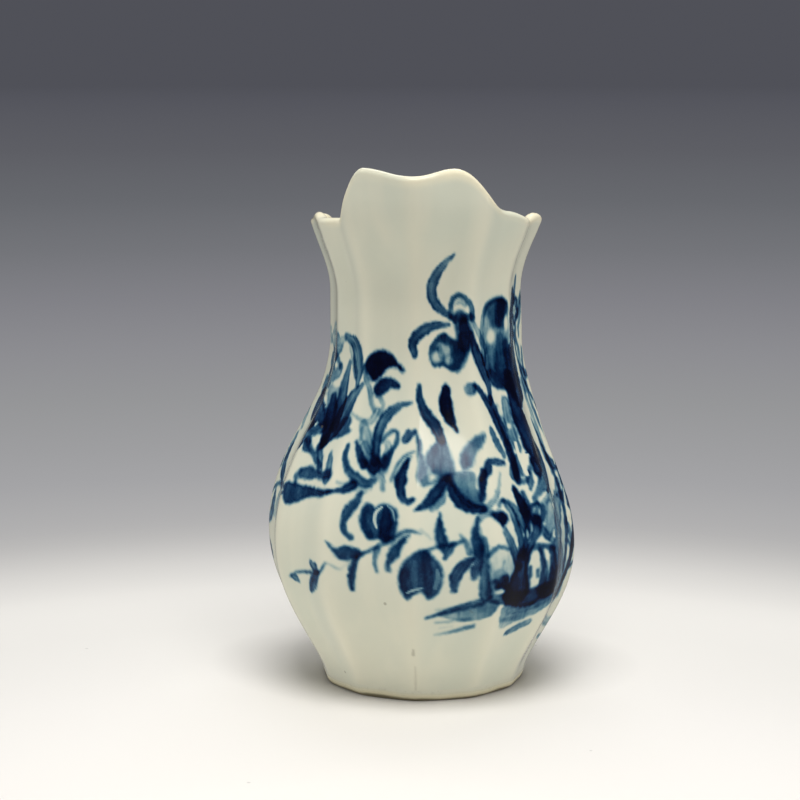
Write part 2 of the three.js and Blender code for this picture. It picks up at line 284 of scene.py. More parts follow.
def grid_normals(points):
    """Unit normals of a grid of points, from the steps between its rows and its columns."""
    normal = np.cross(np.gradient(points, axis=0), np.gradient(points, axis=1))
    return normal / np.maximum(np.linalg.norm(normal, axis=-1, keepdims=True), 1e-12)


def add_mesh(name, points, *face_sets):
    """An object at the origin with these points. A set of faces has rows of equal length."""
    mesh = bpy.data.meshes.new(name)
    sizes = np.concatenate([np.full(len(faces), faces.shape[1]) for faces in face_sets])
    corners = np.concatenate([faces.ravel() for faces in face_sets])
    mesh.vertices.add(len(points))
    mesh.vertices.foreach_set("co", np.asarray(points, np.float32).ravel())
    mesh.loops.add(len(corners))
    mesh.loops.foreach_set("vertex_index", corners.astype(np.int32))
    mesh.polygons.add(len(sizes))
    mesh.polygons.foreach_set("loop_start", (np.cumsum(sizes) - sizes).astype(np.int32))
    mesh.polygons.foreach_set("use_smooth", np.ones(len(sizes), bool))
    mesh.update(calc_edges=True)
    if mesh.validate():
        raise RuntimeError(f"{name} has faces that Blender had to mend")
    obj = bpy.data.objects.new(name, mesh)
    bpy.context.scene.collection.objects.link(obj)
    return obj


def grid_faces(columns, rows, closed_columns=False, closed_rows=False):
    """Quads of a grid whose points are numbered down each column in turn."""
    spans = columns if closed_columns else columns - 1
    steps = rows if closed_rows else rows - 1
    c, r = np.meshgrid(np.arange(spans), np.arange(steps), indexing="ij")
    here, right = c * rows, (c + 1) % columns * rows
    up = (r + 1) % rows
    return np.stack([here + r, right + r, right + up, here + up], -1).reshape(-1, 4)


def ring_end(first, size, tip, flip):
    """Triangles that close a ring of points to a tip."""
    k = np.arange(size)
    a, b = first + k, first + (k + 1) % size
    ends = (b, a) if flip else (a, b)
    return np.stack([*ends, np.full(size, tip)], -1)


def tipped_loft(name, rings, start_tip, end_tip):
    """A solid from rings of equally many points, closed to a tip at each end."""
    count, size = rings.shape[:2]
    points = np.concatenate([rings.reshape(-1, 3), [start_tip], [end_tip]])
    sides = grid_faces(count, size, closed_rows=True)[:, ::-1]
    start = ring_end(0, size, count * size, True)
    end = ring_end((count - 1) * size, size, count * size + 1, False)
    return add_mesh(name, points, sides, np.concatenate([start, end]))


def dress(obj, node, material):
    """The piece stands for its CAD node, rides on the root and wears its finish."""
    obj.data.materials.clear()
    obj.data.materials.append(material)
    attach(obj, "root")
    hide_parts(node)
    return obj


FINE_COLUMNS = ((0, 105, 196), (105, 180, 74))  # from angle, to angle and how many columns
OUTER_ROWS, RIM_STEPS, INNER_ROWS = 292, 9, 40  # points up a column, over the rim and down inside
ROW_BEND = 4  # above 1, how late in their climb the level rows bend to follow the rim
CREST_FADE = 4  # rows over which the rim's tint, partly a painted glow, fades out
SEAM_LAP = 0.02 * MM  # how far each half runs under the other
PAST_SEAM = 0.4  # degrees by which the skin is worked out past a seam, for its normals there


def wall_heights(f, angle, count):
    """Heights of a wall's rows at each angle: level at the foot, following the rim at the top."""
    top = rim_height(f, angle) - f.wall_rim / 2
    level = f.rim_height - f.wall_rim / 2
    t = np.linspace(0, 1, count)[None, :]
    return mix(f.foot_height, level, t) + (top - level)[:, None] * t**ROW_BEND


def wall_sections(f, angle, depth=None):
    """A grid of points, one column for each angle: up outside, over the rim and down inside."""
    a = angle[:, None]
    out_z = wall_heights(f, angle, OUTER_ROWS)
    in_z = wall_heights(f, angle, INNER_ROWS)[:, ::-1]
    top = out_z[:, -1:]
    turned = np.linspace(0, np.pi, RIM_STEPS + 2)[None, 1:-1]
    outside, inside = outer_radius(f, a, top, depth), inner_radius(f, a, top, depth)
    over = mix(inside, outside, (1 + np.cos(turned)) / 2)
    over_z = top + f.wall_rim / 2 * np.sin(turned)
    return np.concatenate(
        [
            place(a, outer_radius(f, a, out_z, depth), out_z),
            place(a, over, over_z),
            place(a, inner_radius(f, a, in_z, depth), in_z),
        ],
        axis=1,
    )


def column_angles():
    """Angles of the fine columns from the front seam to the back one."""
    parts = [np.linspace(lo, hi, n, endpoint=False) for lo, hi, n in FINE_COLUMNS]
    return np.append(np.concatenate(parts), 180.0)


def corner_points(mesh):
    """The number of the point on which each corner of each face lies."""
    corners = np.empty(len(mesh.loops), np.int32)
    mesh.loops.foreach_get("vertex_index", corners)
    return corners


def smooth_skin(obj, normals, flat_faces):
    """Sets the piece's normals: those given on its skin, and flat ones on its last faces."""
    mesh = obj.data
    custom = normals[corner_points(mesh)]
    faces = len(mesh.polygons)
    for i in range(faces - flat_faces, faces):
        face = mesh.polygons[i]
        custom[face.loop_start : face.loop_start + face.loop_total] = face.normal
        for corner in face.loop_indices:
            mesh.edges[mesh.loops[corner].edge_index].use_edge_sharp = True
    mesh.normals_split_custom_set(custom)


class Recipe:
    """The nodes of a material, the world or a modifier, added and joined one after another."""

    def __init__(self, owner):
        self.owner = self.tree = owner
        if not isinstance(owner, bpy.types.NodeTree):
            owner.use_nodes = True
            self.tree = owner.node_tree
        self.tree.nodes.clear()

    def feed(self, socket, value):
        """Joins an input to another node's output, or sets it to a value."""
        if isinstance(value, bpy.types.NodeSocket):
            self.tree.links.new(value, socket)
        else:
            socket.default_value = value

    def add(self, kind, inputs=None, **settings):
        """A node with its settings and inputs, which go by name or number."""
        node = self.tree.nodes.new(kind)
        for name, value in settings.items():
            setattr(node, name, value)
        for name, value in (inputs or {}).items():
            self.feed(node.inputs[name], value)
        return node

    def maths(self, operation, *values):
        """The result of one sum on numbers."""
        return self.add("ShaderNodeMath", dict(enumerate(values)), operation=operation).outputs[0]

    def times(self, a, b):
        """One number multiplied by another."""
        return self.maths("MULTIPLY", a, b)

    def vectors(self, operation, output="Vector", **inputs):
        """The result of one sum on vectors or colours, whose inputs are a, b and scale."""
        sockets = {"a": 0, "b": 1, "scale": "Scale"}
        named = {sockets[name]: value for name, value in inputs.items()}
        return self.add("ShaderNodeVectorMath", named, operation=operation).outputs[output]

    def layer(self, name):
        """A value painted on the piece's points."""
        return self.add("ShaderNodeAttribute", attribute_name=name).outputs["Fac"]

    def span(self, value, low, high, to_low=0.0, to_high=1.0):
        """The value with its span from low to high stretched to another one."""
        ends = {"From Min": low, "From Max": high, "To Min": to_low, "To Max": to_high}
        return self.add("ShaderNodeMapRange", {"Value": value, **ends}).outputs["Result"]

    def noise(self, place, scale, detail=2.0, rough=0.5):
        """Soft clouds from 0 to 1, of which the scale goes into a metre."""
        inputs = {"Vector": place, "Scale": scale, "Detail": detail, "Roughness": rough}
        return self.add("ShaderNodeTexNoise", inputs).outputs["Fac"]

    def flecks(self, place, scale, size, rarity):
        """1 in small round spots and 0 between them, fewer the nearer rarity comes to 1."""
        inputs = {"Vector": place, "Scale": scale, "Randomness": 1.0}
        cells = self.add("ShaderNodeTexVoronoi", inputs).outputs
        dot = self.maths("LESS_THAN", cells["Distance"], size)
        draw = self.add("ShaderNodeSeparateColor", {"Color": cells["Color"]}).outputs[0]
        return self.times(dot, self.maths("GREATER_THAN", draw, rarity))

    def blend(self, share, a, b):
        """Colour a with a share of colour b."""
        node = self.add("ShaderNodeMix", data_type="RGBA")
        sockets = {socket.identifier: socket for socket in node.inputs}
        for name, value in (("Factor_Float", share), ("A_Color", a), ("B_Color", b)):
            self.feed(sockets[name], value)
        return next(socket for socket in node.outputs if socket.identifier == "Result_Color")

    def coat(self, colour, rough, height, bump, bump_depth, gloss=0.5):
        """The finished material of a glazed or bare surface, raised a little by height."""
        relief = {"Height": height, "Strength": bump, "Distance": bump_depth}
        normal = self.add("ShaderNodeBump", relief).outputs[0]
        inputs = {"Base Color": colour, "Roughness": rough, "IOR": 1.5, "Normal": normal}
        inputs["Specular IOR Level"] = gloss
        return self.finish(self.add("ShaderNodeBsdfPrincipled", inputs))

    def finish(self, shader, output="ShaderNodeOutputMaterial"):
        """What the nodes belong to, with the shader on its output."""
        self.add(output, {"Surface": shader.outputs[0]})
        return self.owner


def press_flutes(obj, depth, material):
    """Presses the flutes into a turned form, by a share of the way that its points carry."""
    tree = bpy.data.node_groups.new("Press flutes", "GeometryNodeTree")
    socket = tree.interface.new_socket
    socket("Geometry", in_out="INPUT", socket_type="NodeSocketGeometry")
    how_deep = socket("Flute depth", in_out="INPUT", socket_type="NodeSocketFloat")
    socket("Geometry", in_out="OUTPUT", socket_type="NodeSocketGeometry")
    r = Recipe(tree)
    start = r.add("NodeGroupInput").outputs
    carried = {"Name": "press"}
    way = r.add("GeometryNodeInputNamedAttribute", carried, data_type="FLOAT_VECTOR").outputs
    share = r.vectors("SCALE", a=way["Attribute"], scale=start["Flute depth"])
    moved = r.add("GeometryNodeSetPosition", {"Geometry": start["Geometry"], "Offset": share})
    solid = r.add("GeometryNodeRealizeInstances", {"Geometry": moved.outputs["Geometry"]})
    finish = {"Geometry": solid.outputs["Geometry"], "Material": material}
    finished = r.add("GeometryNodeSetMaterial", finish)
    r.add("NodeGroupOutput", {"Geometry": finished.outputs["Geometry"]})
    modifier = obj.modifiers.new("Press flutes", "NODES")
    modifier.node_group = tree
    modifier[how_deep.identifier] = depth
    graph = bpy.context.evaluated_depsgraph_get()
    graph.update()
    pressed = bpy.data.meshes.new_from_object(obj.evaluated_get(graph), depsgraph=graph)
    obj.modifiers.remove(modifier)
    turned, obj.data = obj.data, pressed
    pressed.name = turned.name + "_pressed"
    bpy.data.meshes.remove(turned)
    pressed.attributes.remove(pressed.attributes["press"])


def body_half(f, node, side, material):
    """Half of the body, closed on the plane of the seams, its skin running on into the other."""
    angles = np.concatenate([[-PAST_SEAM], column_angles(), [180 + PAST_SEAM]])
    wide = wrapped(angles * side)
    turned, fully = wall_sections(f, wide, 0), wall_sections(f, wide, 1)
    normals = grid_normals(mix(turned, fully, f.flute_depth))[1:-1].reshape(-1, 3) * -side
    points, press = turned[1:-1], (fully - turned)[1:-1]
    points[[0, -1], :, 0] = AXIS[0] - side * SEAM_LAP
    press[[0, -1], :, 0] = 0
    columns, rows = points.shape[:2]
    skin = grid_faces(columns, rows)[:, ::-side]
    bottom = np.arange(columns - 1) * rows
    under = np.stack([bottom, bottom + rows - 1, bottom + 2 * rows - 1, bottom + rows], -1)
    under = under[:, ::-side]
    front = np.arange(rows)[None, ::side]
    back = (np.arange(rows) + (columns - 1) * rows)[None, ::-side]
    obj = add_mesh(node + "_glazed", points.reshape(-1, 3), skin, under, front, back)
    way = obj.data.attributes.new("press", "FLOAT_VECTOR", "POINT")
    way.data.foreach_set("vector", press.astype(np.float32).ravel())
    press_flutes(obj, f.flute_depth, material)
    smooth_skin(obj, normals, len(under) + 2)
    unwrap_grid(obj, columns, rows)
    angle = np.repeat(wide[1:-1], rows)
    bow = flute_bow(f, angle, f.arris_softness)
    crest = np.tile(rim_closeness(rows), columns)
    paint(obj, Lens(f), bow, crest, angle, rows)
    return dress(obj, node, material)


def rim_closeness(rows):
    """1 over the rim and 0 away from it, down one column."""
    row = np.arange(rows)
    crest = OUTER_ROWS + (RIM_STEPS - 1) / 2
    return np.clip(1 - (np.abs(row - crest) - RIM_STEPS / 2) / CREST_FADE, 0, 1)


def unwrap_grid(obj, columns, rows):
    """A map that lays the skin out as its grid, up the outside and down the inside."""
    corners = corner_points(obj.data)
    place_on_map = np.stack([corners // rows / (columns - 1), corners % rows / (rows - 1)], -1)
    layer = obj.data.uv_layers.new(name="OFBake")
    layer.data.foreach_set("uv", place_on_map.astype(np.float32).ravel())


def turn_out(obj):
    """Turns the faces of a closed piece outward."""
    work = bmesh.new()
    work.from_mesh(obj.data)
    bmesh.ops.recalc_face_normals(work, faces=work.faces)
    work.to_mesh(obj.data)
    work.free()
    return obj


def around(count):
    """Evenly spread angles right round the jug."""
    return wrapped(np.linspace(0, 360, count, endpoint=False))


ROUND_COLUMNS = 240  # points round the foot ring and the base disc
FOOT_EDGE = 0.45 * MM  # rounding of the edges on which the jug stands
COVE = 1.6 * MM  # rounding between the base disc and the wall
LEVEL_SHARE = 0.6  # share of the base disc's radius up to which its face is one flat fan


def foot_ring(f, material):
    """The ring that the jug stands on, with the edges of its face rounded by wiping."""
    a = around(ROUND_COLUMNS)[:, None]
    inside = f.foot_radius - f.foot_width
    theta = np.radians(np.linspace(0, 90, 6))[None, :]
    pulled, raised = FOOT_EDGE * (1 - np.cos(theta)), FOOT_EDGE * (1 - np.sin(theta))
    top = np.full((1, 1), f.foot_height)
    sections = np.concatenate(
        [
            place(a, outer_radius(f, a, top), top),
            place(a, outer_radius(f, a, raised) - pulled, raised),
            place(a, inside + pulled[:, ::-1], raised[:, ::-1]),
            place(a, inside + 0 * a, top),
        ],
        axis=1,
    )
    faces = grid_faces(*sections.shape[:2], closed_columns=True, closed_rows=True)
    obj = turn_out(add_mesh("foot_ring_wiped", sections.reshape(-1, 3), faces))
    mark_sharp(obj, degrees=50)
    return dress(obj, "foot_ring", material)


def base_disc(f, material):
    """The slab that closes the bottom, coved up to the wall inside."""
    a = around(ROUND_COLUMNS)[None, :]
    top = f.foot_height + f.base_thickness
    theta = np.linspace(0, np.pi / 2, 7)[:, None]
    level, edge = np.full((1, 1), f.foot_height), top + COVE
    reach = inner_radius(f, a, top)
    rings = np.concatenate(
        [
            place(a, inner_radius(f, a, level), level),
            place(a, inner_radius(f, a, edge), np.full((1, 1), edge)),
            place(a, reach - COVE * (1 - np.cos(theta[1:])), edge - COVE * np.sin(theta[1:])),
            place(a, reach * LEVEL_SHARE, np.full((1, 1), top)),
        ],
        axis=0,
    )
    centre = place(0, 0, f.foot_height), place(0, 0, top)
    obj = turn_out(tipped_loft("base_disc_coved", rings, *centre))
    mark_sharp(obj, degrees=60)
    return dress(obj, "base_disc", material)


def mark_sharp(obj, degrees):
    """Shades the piece smooth but for edges sharper than this angle."""
    obj.data.set_sharp_from_angle(angle=math.radians(degrees))


HANDLE_RINGS = 160
CURVE_POINTS = 200  # on each half of the handle's middle line, before it is cut into even steps
STRAP_POINTS = 32  # on each face of the strap
EDGE_ROUNDING = 0.7  # how far the strap's back falls off to its edges, where 1 is a full round
LUTE_RINGS = 14
LUTE_SINK = 0.25 * MM  # how far the slip runs into the wall, so that no gap shows
LUTE_HOLLOW = 2.2  # above 1, how late the slip spreads on its way to the wall
LUTE_TOUCH = 1.08  # above 1, how much sooner it nears the wall
HALVINGS = 40  # of the stretch in which the wall is looked for


def bezier(points, count):
    """Points along a cubic curve with four control points."""
    t = np.linspace(0, 1, count)[:, None]
    a, b, c, d = np.asarray(points, float)
    return (1 - t) ** 3 * a + 3 * t * (1 - t) ** 2 * b + 3 * t**2 * (1 - t) * c + t**3 * d


def upward(angle):
    """A direction in the plane of the seams, as reach and height, at an angle above level."""
    return np.array([math.cos(angle), math.sin(angle)])


def handle_line(f, h):
    """The middle line of the handle, as reach from the jug's axis and height, in even steps."""
    stand_off = h.seat_gap + h.lute_thickness
    top = np.array([float(outer_radius(f, 180.0, h.top)) + stand_off, h.top])
    outer = np.array([f.neck_radius + h.reach, h.widest])
    bottom = np.array([float(outer_radius(f, 180.0, h.bottom)) + stand_off, h.bottom])
    up = np.array([0, 1.0])
    head = top + upward(h.top_climb) * h.top_pull
    foot = bottom + upward(h.bottom_climb) * h.bottom_pull
    upper = bezier([top, head, outer + up * h.outer_pull, outer], CURVE_POINTS)
    lower = bezier([outer, outer - up * h.lower_pull, foot, bottom], CURVE_POINTS)
    line = np.concatenate([upper, lower[1:]])
    run = np.concatenate([[0], np.cumsum(np.linalg.norm(np.diff(line, axis=0), axis=1))])
    even = np.linspace(0, run[-1], HANDLE_RINGS)
    return np.stack([np.interp(even, run, line[:, i]) for i in (0, 1)], -1)


def strap_section(h):
    """The strap's section, as points across and outward: a grooved back, then a smooth front."""
    across = np.linspace(-1, 1, STRAP_POINTS, endpoint=False)
    groove = h.groove_depth * np.sin(np.pi * across) ** 2
    back = h.thickness / 2 * np.sqrt(1 - EDGE_ROUNDING * across**2) - groove
    front = -h.thickness / 2 * np.sqrt(1 - across**2)
    x = np.concatenate([across, -across]) * h.width / 2
    return np.stack([x, np.concatenate([back, front])], -1)


def strap_rings(f, h):
    """The strap's rings along the handle, as a grid of points."""
    line = handle_line(f, h)
    way = np.gradient(line, axis=0)
    way /= np.linalg.norm(way, axis=1, keepdims=True)
    along = np.linspace(0, 1, HANDLE_RINGS)
    splay = 1 + h.end_splay * ease(1 - np.minimum(along, 1 - along) / h.splay_length)
    scale = mix(1, h.taper, along) * splay
    section = strap_section(h)
    across = section[None, :, 0] * scale[:, None]
    out = section[None, :, 1] * scale[:, None]
    reach = line[:, None, 0] - way[:, None, 1] * out
    height = line[:, None, 1] + way[:, None, 0] * out
    x, y, z = np.broadcast_arrays(AXIS[0] + across, AXIS[1] + reach, height)
    return np.stack([x, y, z], -1), way


def handle(f, h, material):
    """The loop of grooved strap."""
    rings, _ = strap_rings(f, h)
    obj = turn_out(tipped_loft("handle_strap", rings, rings[0].mean(0), rings[-1].mean(0)))
    mark_sharp(obj, degrees=60)
    return dress(obj, "handle", material)


def onto_wall(f, points, way):
    """Where points outside the body, moved along one direction, come to lie sunk in its wall."""
    near, far = np.zeros(len(points)), np.full(len(points), f.neck_radius)
    for _ in range(HALVINGS):
        half = (near + far) / 2
        p = points + way * half[:, None]
        x, y = p[:, 0] - AXIS[0], p[:, 1] - AXIS[1]
        clear = np.hypot(x, y) > outer_radius(f, np.degrees(np.arctan2(x, -y)), p[:, 2]) - LUTE_SINK
        near, far = np.where(clear, half, near), np.where(clear, far, half)
    return points + way * near[:, None]


def lute(f, h, node, end, material):
    """The slip between one end of the strap, 0 or 1, and the wall, smoothed to a hollow fillet."""
    rings, ways = strap_rings(f, h)
    ring = rings[0] if end == 0 else rings[-1]
    way = -ways[0] if end == 0 else ways[-1]
    direction = np.array([0, way[0], way[1]])
    centre = ring.mean(0)
    seats = []
    for t in np.linspace(0, 1, LUTE_RINGS):
        grown = centre + (ring - centre) * (1 + h.lute_spread * t**LUTE_HOLLOW)
        seated = onto_wall(f, grown, direction)
        seats.append(mix(grown, seated, min(1, t * LUTE_TOUCH)))
    end_tip = onto_wall(f, centre[None], direction)[0]
    obj = turn_out(tipped_loft(node + "_slip", np.array(seats), centre, end_tip))
    mark_sharp(obj, degrees=70)
    return dress(obj, node, material)


class HandleForm(PropertyGroup):
    """Sizes of the handle and of the slip that holds it."""

    top: length("Upper end", "Height of its upper end", 76.5)
    bottom: length("Lower end", "Height of its lower end", 38)
    reach: length("Reach", "From the neck to the strap at its widest", 25)
    widest: length("Widest", "Height of the widest point", 65)
    top_climb: turn("Upper climb", "How steeply the strap leaves the neck", 22)
    top_pull: length("Upper pull", "How far it keeps that way", 15)
    outer_pull: length("Outer pull", "How far it runs upright above its widest point", 13)
    lower_pull: length("Lower pull", "How far it runs upright below it", 16)
    bottom_climb: turn("Lower climb", "How steeply it comes down to the shoulder", 27)
    bottom_pull: length("Bottom pull", "How far it keeps that way", 12)
    width: length("Width", "Width of the strap", 8)
    thickness: length("Thickness", "Thickness of the strap", 4.8)
    taper: amount("Taper", "Size of the lower end as a share of the upper", 0.8)
    groove_depth: length("Groove depth", "Depth of the two grooves down its back", 0.55)
    end_splay: amount("End splay", "How much the strap widens at the wall", 0.22)
    splay_length: amount("Splay length", "Share of the handle over which it widens", 0.16)
    seat_gap: length("Seat gap", "Clearance at every curved seat", 0.3)
    lute_thickness: length("Lute thickness", "Thickness of the pad of slip", 1.9)
    lute_spread: amount("Lute spread", "How much wider the slip is on the wall", 0.32)


class Finish(PropertyGroup):
    """Colours of the glaze, the cobalt and the bare foot."""

    glaze: tint("Glaze", "The glaze over the white body", (0.63, 0.63, 0.515))
    # This warm glaze also runs along the arrises, where it is partly a painted highlight
    glaze_warm_and_sheen: tint("Warm glaze", "Where the glaze is thin", (0.69, 0.67, 0.54))
    glaze_green: tint("Green glaze", "Where the glaze has run thick", (0.58, 0.605, 0.505))
    cobalt_depth: amount("Cobalt depth", "How strongly the painted cobalt takes up light", 4.3)
    teal_stain: tint("Teal stain", "Light taken up by the greener cobalt", (1.0, 0.595, 0.37))
    navy_stain: tint("Navy stain", "The same for the deeper cobalt", (1.0, 0.66, 0.40))
    bare: tint("Bare foot", "The unglazed body", (0.64, 0.59, 0.40))
    # The rim is painted paler and warmer: partly its thin glaze, partly a painted glow for light
    # through the thin rim
    rim_tint_and_glow: tint("Rim", "Glaze over the crest of the rim", (0.86, 0.79, 0.58))
    # This colour also darkens the foot's very bottom edge, where it is partly a painted contact
    # shadow
    stain: tint("Foot stain", "Stain along the edge of the glaze", (0.10, 0.085, 0.045))


class Studio(PropertyGroup):
    """Light and floor."""

    key_power: amount("Key power", "Watts of the soft box at the right", 0.26)
    top_power: amount("Top power", "Watts of the light overhead", 5.6)
    back_power: amount("Back power", "Watts of the light behind and above", 2.0)
    fill_power: amount("Fill power", "Watts of the light at the left", 1.4)
    sky: amount("Sky", "Strength of the light from all round", 0.30)


PX_PER_MM = 5.45  # scale of the photograph at the jug's front
UNITS_PER_DEGREE = 2.4  # the same scale round the jug


def smooth_step(low, high, x):
    """Runs smoothly from 0, where x is low, to 1, where it is high."""
    t = np.clip((x - low) / (high - low), 0, 1)
    return t * t * (3 - 2 * t)


CURVE_STEPS = 12  # from each given point to the next


def curve_through(points, closed=False):
    """A smooth line through given points."""
    p = np.asarray(points, float)
    if closed:
        p = np.concatenate([p[-1:], p, p[:2]])
    else:
        p = np.concatenate([2 * p[:1] - p[1:2], p, 2 * p[-1:] - p[-2:-1]])
    t = np.linspace(0, 1, CURVE_STEPS, endpoint=False)[:, None]
    parts = []
    for a, b, c, d in zip(p, p[1:], p[2:], p[3:]):
        cubic = (2 * a - 5 * b + 4 * c - d) * t**2 + (3 * b - a - 3 * c + d) * t**3
        parts.append((2 * b + (c - a) * t + cubic) / 2)
    line = np.concatenate(parts)
    return line if closed else np.concatenate([line, p[-2:-1]])


def thinned(load, share):
    """A load of colour laid thinner or thicker, as a share of its depth."""
    return 1 - (1 - np.minimum(load, 0.995)) ** np.maximum(share, 0.05)


def beside(line, spots):
    """How far spots lie from a line, on which side of it, and how far along it from 0 to 1."""
    start, step = line[:-1], np.diff(line, axis=0)
    size = np.maximum((step**2).sum(1), 1e-12)
    run = np.concatenate([[0], np.cumsum(np.sqrt(size))])
    away = spots[:, None] - start
    t = np.clip((away * step).sum(2) / size, 0, 1)
    off = away - t[..., None] * step
    distance = np.sqrt((off**2).sum(2))
    near = distance.argmin(1)
    pick = np.arange(len(spots))
    side = np.sign(step[near, 0] * off[pick, near, 1] - step[near, 1] * off[pick, near, 0])
    along = run[near] + t[pick, near] * np.sqrt(size[near])
    return distance[pick, near], side, along / run[-1], run[-1]


CLOUD_GRID = 64  # squares a side, after which the clouds repeat
FRINGE, FRINGE_REACH = 0.17, 3.4  # colour that has crept out into the glaze, and how far it gets
BLEED = 1.2  # above 1, how gently the colour fades out at the edge of a stroke
RAGGED, RAG_SIZE = 0.8, 3.4  # how far an edge strays, and the length of its bays
STROKE_HAIRS, STROKE_CLOUDS = (2.1, 17), 7  # sizes of the brush's marks across and along a stroke
WASH_HAIRS, WASH_CLOUDS = (2.6, 11), 8  # the same in a filled form
HAIR_SEED, CLOUD_SEED = 500, 900  # added to the number of the stroke
MARKS, MARKS_LOST = 1.7, 1.2  # how much pale colour shows them, and how much less full colour does
LEAF_BELLY = 0.4  # how far along a leaf it is widest


def clouds(spots, size, seed):
    """Soft random clouds from -1 to 1, of a size in pixels or one size for each direction."""
    grid = np.random.default_rng(seed).uniform(-1, 1, (CLOUD_GRID, CLOUD_GRID))
    at = spots / size
    cell = np.floor(at).astype(int)
    t = at - cell
    t = t * t * (3 - 2 * t)
    (x, y), (u, v) = (cell % CLOUD_GRID).T, ((cell + 1) % CLOUD_GRID).T
    return mix(mix(grid[x, y], grid[u, y], t[:, 0]), mix(grid[x, v], grid[u, v], t[:, 0]), t[:, 1])


def fractions(line):
    """How far along a line its points lie, from 0 to 1."""
    run = np.concatenate([[0], np.cumsum(np.linalg.norm(np.diff(line, axis=0), axis=1))])
    return run / run[-1]


class Lens:
    """Carries places of the photograph's frame onto the skin as it lies wrapped flat."""

    STEP = np.array([1.5, 1.2 * MM])  # degrees and metres between the knots of the first search
    TRIES, CLOSER = 4, 2.5  # how often the search is repeated, and how much finer each time

    def __init__(self, f):
        self.form = f
        angles = np.arange(-87, 87.1, self.STEP[0])
        angle, z = np.meshgrid(angles, np.arange(4 * MM, 97 * MM, self.STEP[1]))
        self.knots = np.stack([angle.ravel(), z.ravel()], -1)
        self.seen = self.show(self.knots)

    def show(self, knots):
        """Where places of the skin, given by angle and height, appear in the photograph's frame."""
        angle, z = knots[..., 0], knots[..., 1]
        return page(place(angle, outer_radius(self.form, angle, z), z))

    def carry(self, spots):
        """The places that appear at the spots, found by closer and closer tries."""
        away = ((self.seen - spots[:, None]) ** 2).sum(-1)
        best, step = self.knots[away.argmin(1)], self.STEP
        tries = np.stack(np.meshgrid(np.arange(-2, 3), np.arange(-2, 3)), -1).reshape(-1, 2)
        for _ in range(self.TRIES):
            step = step / self.CLOSER
            near = best[:, None] + tries * step
            off = ((self.show(near) - spots[:, None]) ** 2).sum(-1)
            best = near[np.arange(len(spots)), off.argmin(1)]
        return best * (UNITS_PER_DEGREE, -PX_PER_MM / MM)

    def band(self, line, half):
        """A line with half its width at every point, carried over."""
        along = np.gradient(line, axis=0)
        along /= np.maximum(np.linalg.norm(along, axis=1, keepdims=True), 1e-9)
        across = along[:, ::-1] * (1, -1) * half[:, None]
        left, right = self.carry(line - across), self.carry(line + across)
        return (left + right) / 2, np.linalg.norm(right - left, axis=1) / 2


